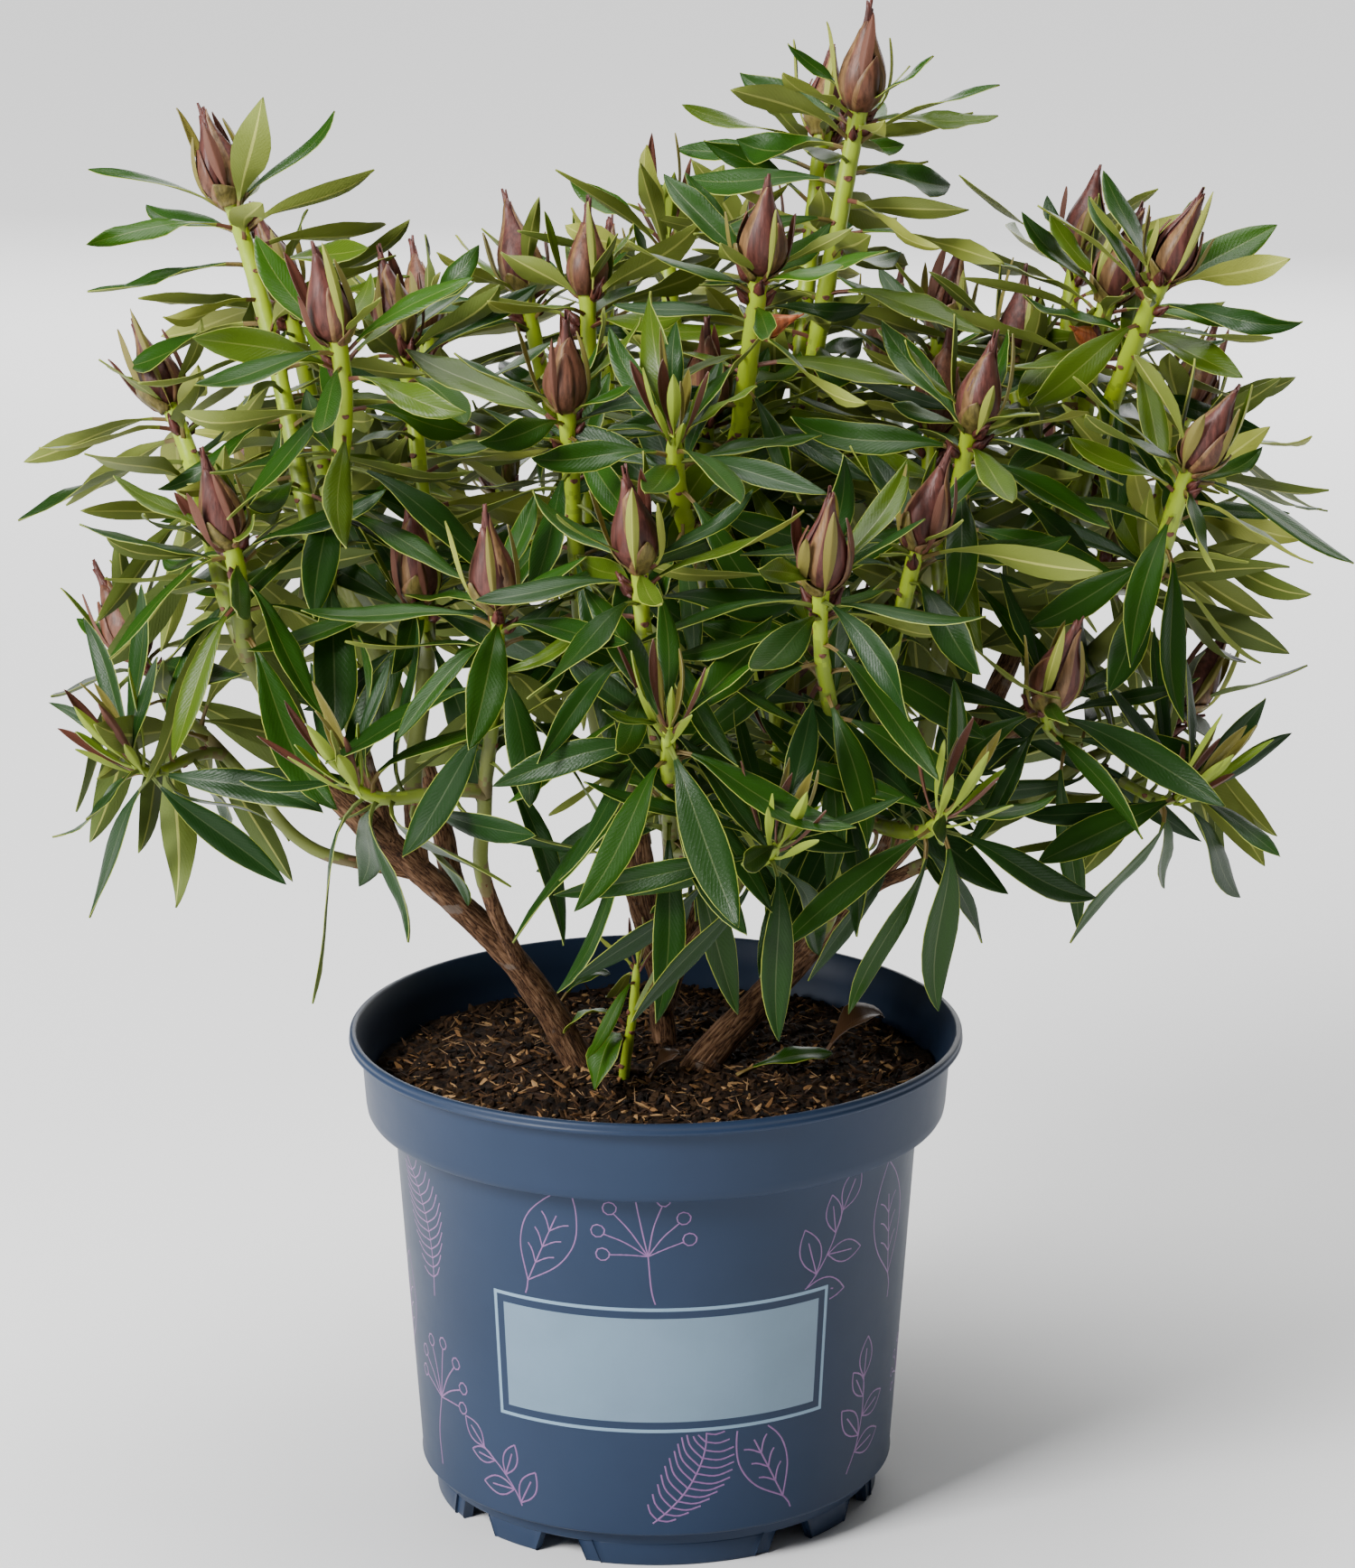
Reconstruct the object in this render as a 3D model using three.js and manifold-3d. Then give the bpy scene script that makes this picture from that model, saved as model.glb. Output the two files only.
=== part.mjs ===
// A potted rhododendron: a plastic nursery pot, its root ball, three woody stems, the boughs that
// fork from them, and masses of leafy shoots that end in flower buds.
// Units are millimetres. +Z is up, the front faces -Y and +X is to the right of the front.
// The origin is the middle of the pot's underside.

import * as THREE from 'three';
import { mergeVertices } from 'three/addons/utils/BufferGeometryUtils.js';
import Module from 'manifold-3d';

const wasm = await Module();
wasm.setup();

// ---------------------------------------------------------------- driving sizes

const GAP = 0.3; // clearance between neighbouring solids

const POT = {
  height: 182.5,
  rimRadius: 115, // over the rolled lip
  lipHeight: 7,
  lipWidth: 4.6,
  rounding: 2,
  bandRadius: 110.5, // the deep band under the lip
  bandFoot: 150.5,
  bandFootRadius: 108.5,
  bodyRadius: 98.5, // under the band
  footLine: 14.5,
  footLineRadius: 89.3,
  footRadius: 83.5,
  footWall: 3.2,
  wall: 1.8,
  floor: 9, // underside of the floor above the ground
  floorThickness: 2.2,
  innerCorner: 6,
  padRadius: 24, // standing pad in the middle of the floor
  sides: 36,
};

const FEET = {
  gapAngle: 12, // degrees left open between two feet
  gapHeight: 8.3,
  gapSlope: 1.5,
  cutDepth: 12,
  feet: [16, 50], // degrees of the narrow and the wide foot, in turn
  pairs: 4,
  firstGap: 37, // bearing of the middle of the first gap, from the front towards +X
};

const SOIL = { middle: 170, flatRadius: 50, shoulder: 167.5, shoulderRadius: 72, edge: 163 };

// Each stem: the points its middle passes, from under the soil up to its fork, and its radii.
const STEMS = {
  stem_left: {
    points: [[-24, -8, 150], [-29, -10, 171], [-55, -20, 217], [-104, -45, 273]],
    root: 5.4,
    tip: 4.9,
  },
  stem_right: {
    points: [[8, -12, 150], [18, -10, 171], [52, 10, 203], [121, 20, 283]],
    root: 5.8,
    tip: 5.2,
  },
  stem_centre: {
    points: [[3, 16, 150], [3, 15, 171], [2, 15, 183], [3, 16, 197]],
    root: 4.7,
    tip: 4.4,
  },
};

// Each bough: its stem, how far up that stem it starts (1 is the tip), a point that it passes,
// its tip, and its radii at the root and at the tip.
const BOUGHS = {
  bough_left_outer: ['stem_left', 1, [-122, -48, 293], [-140, -56, 330], 4.4, 3.7],
  bough_left_upright: ['stem_left', 0.93, [-107, -36, 300], [-115, -36, 338], 3.9, 3.5],
  bough_left_inner: ['stem_left', 0.82, [-88, -30, 287], [-84, -26, 318], 3.5, 3.2],
  bough_left_low: ['stem_left', 0.8, [-124, -48, 265], [-150, -34, 289], 2.4, 2.2],
  bough_left_rear: ['stem_left', 0.68, [-85, 12, 277], [-110, 50, 325], 4, 3.5],
  bough_left_front: ['stem_left', 0.42, [-62, -52, 255], [-60, -84, 290], 2.9, 2.7],
  bough_centre_left: ['stem_centre', 0.88, [-9, 3, 237], [-22, -10, 305], 3.7, 3.3],
  bough_centre_front: ['stem_centre', 0.72, [6, -50, 230], [6, -104, 275], 3.4, 3.1],
  bough_centre_back: ['stem_centre', 0.8, [-6, 58, 240], [-16, 95, 300], 3.8, 3.3],
  bough_centre_top: ['stem_centre', 1, [8, 22, 250], [18, 22, 320], 4.2, 3.7],
  bough_centre_right: ['stem_centre', 0.92, [28, 3, 232], [42, -8, 270], 3.1, 2.9],
  bough_back_low: ['stem_centre', 0.66, [20, 62, 220], [40, 105, 262], 3.2, 2.9],
  bough_right_top: ['stem_right', 0.42, [56, 32, 275], [52, 34, 352], 4, 3.6],
  bough_right_front: ['stem_right', 0.34, [62, -34, 232], [68, -66, 272], 3.2, 3],
  bough_right_inner: ['stem_right', 0.7, [98, 4, 285], [104, -4, 325], 3.8, 3.5],
  bough_right_low: ['stem_right', 0.6, [116, -14, 258], [146, -24, 284], 2.5, 2.3],
  bough_right_rear: ['stem_right', 0.84, [112, 58, 288], [112, 92, 322], 4, 3.5],
  bough_right_upper: ['stem_right', 0.94, [134, 34, 318], [150, 44, 356], 4.3, 3.8],
  bough_right_outer: ['stem_right', 1, [143, 4, 305], [168, -18, 338], 4.8, 4.1],
};

const LIMB = { step: 22, stemSides: 8, boughSides: 6, flare: 2.4, flareLength: 0.22 };

// Each mass: the bough that carries it, and its shoots: the foot of each one's flower bud, or its
// tip where it ends in a tuft of young leaves.
const BUD = 'bud';
const TUFT = 'tuft';
const MASSES = {
  leaves_left_outer: ['bough_left_outer', [-149, -70, 384, BUD], [-179, 30, 413, BUD]],
  leaves_left_top: ['bough_left_upright', [-153, 10, 492, BUD], [-110, -70, 456, BUD]],
  leaves_left_inner: ['bough_left_inner', [-84, -50, 359, BUD], [-93, 20, 439, BUD]],
  leaves_left_low: ['bough_left_low', [-192, 20, 321, BUD], [-186, -60, 300, TUFT]],
  leaves_left_rear: [
    'bough_left_rear',
    [-139, 70, 447, BUD], [-150, 100, 358, BUD], [-90, 145, 420, BUD], [-125, 140, 380, BUD],
  ],
  leaves_left_front: ['bough_left_front', [-54, -110, 370, BUD], [-105, -105, 305, TUFT]],
  leaves_centre_left: ['bough_centre_left', [-25, 30, 454, BUD], [-31, -60, 429, BUD]],
  leaves_centre_front: [
    'bough_centre_front', [-5, -130, 389, BUD], [5, -155, 338, TUFT], [42, -150, 296, TUFT],
  ],
  leaves_centre_back: [
    'bough_centre_back', [-50, 110, 442, BUD], [-20, 160, 430, BUD], [-62, 155, 355, BUD],
  ],
  leaves_centre_top: [
    'bough_centre_top',
    [37, -40, 474, BUD], [4, 90, 466, TUFT], [7, -90, 425, TUFT], [18, 0, 415, BUD],
  ],
  leaves_centre_right: ['bough_centre_right', [53, 0, 301, BUD], [44, -60, 310, TUFT]],
  leaves_back_low: [
    'bough_back_low',
    [20, 172, 365, BUD], [75, 168, 325, BUD], [84, 90, 301, BUD], [-30, 162, 300, TUFT],
  ],
  leaves_right_top: ['bough_right_top', [74, 30, 522, BUD], [63, 90, 506, BUD], [40, 145, 450, BUD]],
  leaves_right_front: [
    'bough_right_front', [57, -130, 382, BUD], [92, -80, 385, BUD], [100, -125, 300, TUFT],
  ],
  leaves_right_inner: [
    'bough_right_inner', [112, -50, 421, BUD], [102, 20, 406, BUD], [76, 60, 368, BUD],
  ],
  leaves_right_low: [
    'bough_right_low', [139, -70, 325, BUD], [196, 20, 300, BUD], [190, -55, 288, TUFT],
  ],
  leaves_right_rear: [
    'bough_right_rear', [109, 110, 425, BUD], [90, 160, 405, BUD], [145, 145, 360, BUD],
  ],
  leaves_right_upper: [
    'bough_right_upper',
    [167, 40, 451, BUD], [183, 0, 466, BUD], [162, 110, 456, BUD], [136, 80, 421, BUD],
  ],
  leaves_right_outer: [
    'bough_right_outer', [190, -50, 406, BUD], [198, 60, 403, BUD], [171, 60, 352, BUD],
  ],
};

// A young shoot straight from the soil.
const YOUNG_SHOOT = { foot: [-13, -27, 160], tip: [-7, -32, 216], root: 2.8, leafScale: 0.5 };

const TWIG = {
  root: 3.7,
  tip: 3.3,
  sides: 3,
  step: 36,
  stemSides: 4, // the stem from which a mass's shoots divide
  stemLength: 9,
  lean: 1 / 420, // outward lean of a shoot's tip for each millimetre from the plant's axis
  follow: 0.35, // how far the tip keeps to the straight line from the shoot's foot
  leave: 0.33, // handles of the shoot's curve as parts of its reach
  arrive: 0.36,
};

const LEAF = {
  turn: 137.5, // degrees from one leaf to the next round the shoot
  outward: 4, // the leaf of each shoot that points away from the middle of the plant
  whorl: 9, // leaves crowded under the bud
  whorlStep: 1.6,
  upright: 3, // short leaves that stand round the bud
  uprightPitch: [38, 54], // degrees from the shoot
  whorlPitch: [42, 76],
  lowerPitch: [68, 96],
  hang: 24, // degrees more at the foot of the crown
  lowDroop: 76, // degrees that a leaf bends down along its length
  highDroop: 14,
  roll: 30,
  step: 7, // distance between the leaves below the whorl
  shortest: 54, // mean length at the top of the crown
  longest: 74, // mean length at its foot
  narrowest: 0.2, // width as a part of the length, at the foot of the crown
  broadest: 0.29,
  thickness: 1.2,
  sunk: 1.4, // how far a leaf's foot lies past the axis of its twig
  low: 260, // heights between which the leaves change from hanging to rising
  high: 470,
  bare: 0.12, // part of each shoot that has lost its leaves
  bendShape: 0.8, // a blade bends most near its foot
  uprightScale: 0.68, // length of the leaves round the bud, as a part of the others'
  uprightDroop: 8,
  attempts: 16, // ways tried of laying a leaf before it is skipped, each a little
  aside: 10, // further round the shoot,
  lift: 9, // nearer its direction,
  ease: 0.15, // less bent,
  shorten: 0.02, // and shorter
  coarse: 2, // every second leaf of the plant is made as a solid
};

// How far single leaves stray from the mean: degrees, or factors.
const STRAY = {
  phase: [-25, 25],
  turn: [-12, 12],
  length: [0.86, 1.14],
  width: [0.88, 1.14],
  droop: [0.55, 1.25],
};

const CLEAR = {
  border: 2, // empty strip between the spaces of two masses
  limb: 3.2,
  own: 2, // to the other shoots of the same mass, and to buds
  pot: 4,
  crossing: 0.05, // cubic millimetres that two blades may share at their stalks
};

const FLOWER_BUD = { length: 37, radius: 8.2, widest: 0.38, pointRadius: 3, sides: 5, sunk: 7 };

const COLOURS = { pot: 0x4f6079, soil: 0x2c1f18, bark: 0x6a4836, leaves: 0x3a6628, young: 0x7fae2c };

const vector = ([x, y, z]) => new THREE.Vector3(x, y, z);
const between = (low, high, part) => low + (high - low) * part;
const radians = (degrees) => degrees * (Math.PI / 180);

// ---------------------------------------------------------------- solids and meshes

/** A three.js geometry as a closed solid for cutting and joining. */
function solidOf(geometry) {
  const bare = geometry.clone();
  bare.deleteAttribute('normal');
  bare.deleteAttribute('uv');
  const merged = mergeVertices(bare, 1e-4);
  const mesh = new wasm.Mesh({
    numProp: 3,
    vertProperties: new Float32Array(merged.attributes.position.array),
    triVerts: new Uint32Array(merged.index.array),
  });
  return new wasm.Manifold(mesh);
}

/** A closed solid as a three.js geometry. */
function geometryOf(solid) {
  const mesh = solid.getMesh();
  const geometry = new THREE.BufferGeometry();
  geometry.setAttribute('position', new THREE.BufferAttribute(new Float32Array(mesh.vertProperties), 3));
  geometry.setIndex(new THREE.BufferAttribute(new Uint32Array(mesh.triVerts), 1));
  geometry.computeVertexNormals();
  return geometry;
}

/** The largest piece of a solid, without loose scraps and sealed hollows. */
function largestPiece(solid) {
  const pieces = solid.decompose();
  return pieces.reduce((best, piece) => (piece.volume() > best.volume() ? piece : best));
}

function namedMesh(name, solid, colour, roughness) {
  const material = new THREE.MeshStandardMaterial({ color: colour, roughness, metalness: 0 });
  const mesh = new THREE.Mesh(geometryOf(solid), material);
  mesh.name = name;
  return mesh;
}

/**
 * A closed geometry whose rings round the Y axis are laid anew by a function.
 * place(part, x, z) gives a point: part is how far up its ring is, from 0 to 1, as partOf reads it
 * from the old height, and x and z lie on the unit circle, or are 0 on the axis.
 */
function relaid(geometry, partOf, place) {
  const position = geometry.attributes.position;
  for (let i = 0; i < position.count; i += 1) {
    const x = position.getX(i);
    const z = position.getZ(i);
    const reach = Math.hypot(x, z);
    const scale = reach > 1e-6 ? 1 / reach : 0;
    const point = place(partOf(position.getY(i)), x * scale, z * scale);
    position.setXYZ(i, point.x, point.y, point.z);
  }
  return solidOf(geometry);
}

/** A tube with flat ends. */
function tube(sides, steps, place) {
  return relaid(new THREE.CylinderGeometry(1, 1, 1, sides, steps), (y) => y + 0.5, place);
}

/** A body that is pointed at both ends and widest at one ring between them. */
function spindle(sides, place) {
  return relaid(new THREE.SphereGeometry(1, sides, 2), (y) => (y + 1) / 2, place);
}

/** A round limb along a curve; radiusAt(t) gives its radius. */
function limbSolid(curve, steps, sides, radiusAt) {
  const frames = curve.computeFrenetFrames(steps);
  return tube(sides, steps, (t, x, z) => {
    const ring = Math.round(t * steps);
    const radius = radiusAt(t);
    return curve
      .getPointAt(ring / steps)
      .addScaledVector(frames.binormals[ring], x * radius)
      .addScaledVector(frames.normals[ring], z * radius);
  });
}

// ---------------------------------------------------------------- pot and root ball

/** Height and radius of the inside of the pot's wall, from the floor up. */
function innerWall() {
  const floorTop = POT.floor + POT.floorThickness;
  return [
    [POT.footRadius - POT.wall, floorTop],
    [POT.footLineRadius - POT.wall, floorTop + POT.innerCorner],
    [POT.bodyRadius - POT.wall, POT.bandFoot - POT.rounding],
    [POT.bandFootRadius - POT.wall, POT.bandFoot + POT.wall],
    [POT.bandRadius - POT.wall, POT.height - POT.lipHeight],
  ];
}

/** The pot: rolled lip, deep band, tapering wall, foot ring and floor with a standing pad. */
function potSolid() {
  const { rimRadius: rim, height: top, rounding: round } = POT;
  const outside = [
    [rim - POT.lipWidth, top - round / 2],
    [rim - round, top],
    [rim, top - round],
    [rim - round / 4, top - POT.lipHeight + round],
    [POT.bandRadius + round / 4, top - POT.lipHeight],
    [POT.bandFootRadius, POT.bandFoot],
    [POT.bodyRadius, POT.bandFoot - round / 2],
    [POT.footLineRadius, POT.footLine],
    [POT.footRadius, POT.footLine - round],
    [POT.footRadius, 0],
    [POT.footRadius - POT.footWall, 0],
    [POT.footRadius - POT.footWall, POT.floor],
    [POT.padRadius + round, POT.floor],
    [POT.padRadius, 0],
    [0, 0],
  ];
  const profile = [
    [0, POT.floor + POT.floorThickness],
    ...innerWall(),
    ...outside,
  ].map(([radius, height]) => new THREE.Vector2(radius, height));
  const geometry = new THREE.LatheGeometry(profile.reverse(), POT.sides);
  geometry.rotateX(Math.PI / 2);
  return footGaps().reduce((body, gap) => body.subtract(gap), solidOf(geometry));
}

/** The trapezoid openings between the feet, as solids to cut away. */
function footGaps() {
  const half = radians(FEET.gapAngle / 2) * POT.footRadius;
  const outline = new THREE.Shape([
    new THREE.Vector2(-half - FEET.gapSlope, -1),
    new THREE.Vector2(half + FEET.gapSlope, -1),
    new THREE.Vector2(half - FEET.gapSlope, FEET.gapHeight),
    new THREE.Vector2(-half + FEET.gapSlope, FEET.gapHeight),
  ]);
  const gaps = [];
  let bearing = FEET.firstGap;
  for (let pair = 0; pair < FEET.pairs; pair += 1) {
    for (const foot of FEET.feet) {
      const geometry = new THREE.ExtrudeGeometry(outline, { depth: FEET.cutDepth, bevelEnabled: false });
      geometry.rotateX(Math.PI / 2);
      geometry.translate(0, FEET.cutDepth / 2 - POT.footRadius, 0);
      geometry.rotateZ(radians(bearing));
      gaps.push(solidOf(geometry));
      bearing += foot + FEET.gapAngle;
    }
  }
  return gaps;
}

/** Bark compost that fills the pot up to a low mound, flat where the stems stand. */
function rootBallSolid() {
  const wall = innerWall()
    .filter(([, height]) => height < SOIL.edge)
    .map(([radius, height]) => [radius - GAP, height + GAP]);
  const wallAtEdge = POT.bandFootRadius - POT.wall - GAP;
  const profile = [
    [0, POT.floor + POT.floorThickness + GAP],
    ...wall,
    [wallAtEdge, SOIL.edge],
    [SOIL.shoulderRadius, SOIL.shoulder],
    [SOIL.flatRadius, SOIL.middle],
    [0, SOIL.middle],
  ].map(([radius, height]) => new THREE.Vector2(radius, height));
  const geometry = new THREE.LatheGeometry(profile, POT.sides);
  geometry.rotateX(Math.PI / 2);
  return solidOf(geometry);
}

// ---------------------------------------------------------------- stems and boughs

/** A stem or bough: its curve, its radius along it, and the solids made from them. */
class Limb {
  constructor(points, root, tip, sides, flare) {
    this.curve = new THREE.CatmullRomCurve3(points, false, 'catmullrom', 0.5);
    this.root = root;
    this.tip = tip;
    this.sides = sides;
    this.flare = flare;
    this.steps = Math.max(3, Math.round(this.curve.getLength() / LIMB.step));
  }

  radiusAt(t) {
    return between(this.root, this.tip, t) + this.flare * Math.exp(-t / LIMB.flareLength);
  }

  /** The limb as a solid, thicker all round by an extra where it serves to cut others. */
  solid(extra = 0) {
    return limbSolid(this.curve, this.steps, this.sides, (t) => this.radiusAt(t) + extra);
  }

  /** Short straight pieces with their radii, for measuring distances. */
  capsules() {
    const pieces = this.steps * 2;
    const points = this.curve.getSpacedPoints(pieces);
    return points.slice(1).map((end, i) => ({
      from: points[i],
      to: end,
      radius: this.radiusAt((i + 0.5) / pieces),
    }));
  }
}

function makeStems() {
  const stems = new Map();
  for (const [name, { points, root, tip }] of Object.entries(STEMS)) {
    stems.set(name, new Limb(points.map(vector), root, tip, LIMB.stemSides, LIMB.flare));
  }
  return stems;
}

/** Boughs: one from the tip of its stem goes straight on, the others start inside their stem. */
function makeBoughs(stems) {
  const boughs = new Map();
  for (const [name, [parent, at, via, tip, root, end]] of Object.entries(BOUGHS)) {
    const { curve } = stems.get(parent);
    const start = curve.getPointAt(at);
    if (at === 1) {
      start.addScaledVector(curve.getTangentAt(1), GAP);
    }
    boughs.set(name, new Limb([start, vector(via), vector(tip)], root, end, LIMB.boughSides, 0));
  }
  return boughs;
}

/** Everything below the plane on which the stems stand. */
function underground() {
  const depth = 100;
  const box = new THREE.BoxGeometry(400, 400, depth);
  box.translate(0, 0, SOIL.middle + GAP - depth / 2);
  return solidOf(box);
}

/** Stem solids with a flat foot, and bough solids cut clear of their stem and of each other. */
function limbSolids(stems, boughs) {
  const solids = new Map();
  const cutters = new Map();
  for (const [name, stem] of stems) {
    solids.set(name, largestPiece(stem.solid().subtract(underground())));
    cutters.set(name, [stem.solid(GAP)]);
  }
  for (const [name, bough] of boughs) {
    const [stem] = BOUGHS[name];
    const cut = cutters.get(stem).reduce((solid, other) => solid.subtract(other), bough.solid());
    solids.set(name, largestPiece(cut));
    cutters.get(stem).push(bough.solid(GAP));
  }
  return solids;
}

// ---------------------------------------------------------------- shoots, buds and leaves

/** A repeatable number from 0 to 1 for a shoot, one of its leaves and a purpose. */
function chance(shoot, leaf, purpose) {
  let hash = 2166136261;
  for (const key of [shoot, leaf, purpose]) {
    hash = Math.imul(hash ^ (key + 1), 16777619) >>> 0;
    hash = (hash ^ (hash >>> 15)) >>> 0;
  }
  hash = Math.imul(hash ^ (hash >>> 16), 0x85ebca6b) >>> 0;
  hash = Math.imul(hash ^ (hash >>> 13), 0xc2b2ae35) >>> 0;
  return ((hash ^ (hash >>> 16)) >>> 0) / 4294967296;
}

const PURPOSE = { phase: 0, pitch: 1, length: 2, width: 3, droop: 4, roll: 5, turn: 6 };

/** A green shoot from its mass's stem up to its bud. */
class Shoot {
  constructor(number, start, startWay, [x, y, z, end], root, leafScale = 1) {
    this.number = number;
    this.end = end;
    this.stout = Math.min(1, root / TWIG.root);
    this.leafScale = leafScale;
    this.bearing = THREE.MathUtils.radToDeg(Math.atan2(y, x));
    const tip = new THREE.Vector3(x, y, z);
    const chord = tip.clone().sub(start);
    const reach = chord.length();
    this.tipWay = new THREE.Vector3(x * TWIG.lean, y * TWIG.lean, 1)
      .addScaledVector(chord, TWIG.follow / reach)
      .normalize();
    const footWay = startWay.clone().addScaledVector(chord, 1 / reach).normalize();
    this.curve = new THREE.CubicBezierCurve3(
      start,
      start.clone().addScaledVector(footWay, reach * TWIG.leave),
      tip.clone().addScaledVector(this.tipWay, -reach * TWIG.arrive),
      tip,
    );
    this.length = this.curve.getLength();
    this.steps = Math.max(2, Math.round(this.length / TWIG.step));
  }

  radiusAt(t) {
    return between(TWIG.root, TWIG.tip, t) * this.stout;
  }

  twig() {
    return limbSolid(this.curve, this.steps, TWIG.sides, (t) => this.radiusAt(t));
  }

  /** Point, direction and two cross directions at a distance below the tip. */
  frameAt(below) {
    const u = Math.max(0, 1 - below / this.length);
    const along = this.curve.getTangentAt(u);
    const first = new THREE.Vector3(1, 0, 0).addScaledVector(along, -along.x).normalize();
    return { point: this.curve.getPointAt(u), along, first, second: along.clone().cross(first) };
  }

  budCapsules() {
    if (this.end !== BUD) {
      return [];
    }
    const [low, middle, top] = [0.25, 0.5, 1].map((part) =>
      this.curve.getPointAt(1).addScaledVector(this.tipWay, FLOWER_BUD.length * part));
    return [
      { from: low, to: middle, radius: FLOWER_BUD.radius },
      { from: middle, to: top, radius: FLOWER_BUD.pointRadius },
    ];
  }

  capsules() {
    const points = this.curve.getSpacedPoints(this.steps * 2);
    const radius = this.radiusAt(0);
    const pieces = points.slice(1).map((end, i) => ({ from: points[i], to: end, radius }));
    return [...pieces, ...this.budCapsules()];
  }
}

/** A closed pointed bud, its foot sunk in the tip of its shoot. */
function budSolid(shoot) {
  const heights = [-FLOWER_BUD.sunk, FLOWER_BUD.length * FLOWER_BUD.widest, FLOWER_BUD.length];
  const { point, first } = shoot.frameAt(0);
  const along = shoot.tipWay;
  const side = first.clone().addScaledVector(along, -first.dot(along)).normalize();
  const third = side.clone().cross(along);
  return spindle(FLOWER_BUD.sides, (t, x, z) =>
    point
      .clone()
      .addScaledVector(along, heights[Math.round(t * 2)])
      .addScaledVector(side, x * FLOWER_BUD.radius)
      .addScaledVector(third, z * FLOWER_BUD.radius));
}

/** Where a shoot's leaves stand and how each one is meant to lie. */
function leafPlans(shoot) {
  const plans = [];
  const leafy = shoot.length * (1 - LEAF.bare);
  const phase = shoot.bearing - LEAF.outward * LEAF.turn
    + between(...STRAY.phase, chance(shoot.number, 0, PURPOSE.phase));
  for (let leaf = 0; ; leaf += 1) {
    const draw = (purpose, [low, high]) => between(low, high, chance(shoot.number, leaf, PURPOSE[purpose]));
    const crowded = Math.min(leaf, LEAF.whorl) * LEAF.whorlStep;
    const below = 1 + crowded + Math.max(0, leaf - LEAF.whorl) * LEAF.step;
    if (below > leafy) {
      return plans;
    }
    const { point } = shoot.frameAt(below);
    const height = THREE.MathUtils.clamp((point.z - LEAF.low) / (LEAF.high - LEAF.low), 0, 1);
    const upright = leaf < LEAF.upright;
    const side = leaf < LEAF.whorl ? LEAF.whorlPitch : LEAF.lowerPitch;
    const length = shoot.leafScale * between(LEAF.longest, LEAF.shortest, height);
    const droop = between(LEAF.lowDroop, LEAF.highDroop, height);
    plans.push({
      below,
      turn: phase + leaf * LEAF.turn + draw('turn', STRAY.turn),
      pitch: draw('pitch', upright ? LEAF.uprightPitch : side) + (upright ? 0 : LEAF.hang * (1 - height)),
      length: length * (upright ? LEAF.uprightScale : 1) * draw('length', STRAY.length),
      ratio: between(LEAF.narrowest, LEAF.broadest, height) * draw('width', STRAY.width),
      droop: upright ? LEAF.uprightDroop : droop * draw('droop', STRAY.droop),
      roll: draw('roll', [-LEAF.roll, LEAF.roll]),
    });
  }
}

const LEAF_PARTS = 8;

/** A leaf laid out in space: points along its midrib with its side and keel directions. */
class Leaf {
  constructor(shoot, plan) {
    this.plan = plan;
    const { point, along, first, second } = shoot.frameAt(plan.below);
    const turn = radians(plan.turn);
    const outward = first.multiplyScalar(Math.cos(turn)).addScaledVector(second, Math.sin(turn));
    const pitch = radians(plan.pitch);
    const way = along.clone().multiplyScalar(Math.cos(pitch)).addScaledVector(outward, Math.sin(pitch));
    const side = along.clone().cross(outward).applyAxisAngle(way, radians(plan.roll));
    this.way = way;
    this.side = side;
    this.stations = [];
    const spot = point.clone();
    for (let i = 0; i <= LEAF_PARTS; i += 1) {
      const bend = radians(plan.droop) * (i / LEAF_PARTS) ** LEAF.bendShape;
      const heading = way.clone().applyAxisAngle(side, bend);
      this.stations.push({ point: spot.clone(), keel: side.clone().cross(heading) });
      spot.addScaledVector(heading, plan.length / LEAF_PARTS);
    }
  }

  /** A closed three-sided blade: its foot sunk through the twig's axis, its widest place, its tip. */
  solid() {
    const [foot, middle, tip] = [0, LEAF_PARTS / 2, LEAF_PARTS].map((i) => this.stations[i]);
    const sunk = foot.point.clone().addScaledVector(this.way, -LEAF.sunk);
    const half = (this.plan.length * this.plan.ratio) / 2 / Math.sin(radians(120));
    const depth = (LEAF.thickness * 2) / 3;
    return spindle(3, (t, x, z) => {
      const point = [sunk, middle.point, tip.point][Math.round(t * 2)];
      return point.clone().addScaledVector(this.side, x * half).addScaledVector(middle.keel, z * depth);
    });
  }

  /** Points spread over the blade, past the stalk. */
  samples() {
    const points = [];
    for (let i = 2; i < this.stations.length; i += 1) {
      const fullness = 1 - Math.abs(i - LEAF_PARTS / 2) / (LEAF_PARTS / 2);
      const half = (this.plan.length * this.plan.ratio * fullness) / 2;
      for (const across of [-half, 0, half]) {
        points.push(this.stations[i].point.clone().addScaledVector(this.side, across));
      }
    }
    return points;
  }
}

/** Distance from a point to the surface of a tapering piece. */
function clearance(point, { from, to, radius }) {
  const ax = to.x - from.x;
  const ay = to.y - from.y;
  const az = to.z - from.z;
  const px = point.x - from.x;
  const py = point.y - from.y;
  const pz = point.z - from.z;
  const part = Math.min(1, Math.max(0, (px * ax + py * ay + pz * az) / (ax * ax + ay * ay + az * az)));
  return Math.hypot(px - ax * part, py - ay * part, pz - az * part) - radius;
}

function nearest(point, capsules) {
  let best = Infinity;
  for (const capsule of capsules) {
    best = Math.min(best, clearance(point, capsule));
  }
  return best;
}

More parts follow.
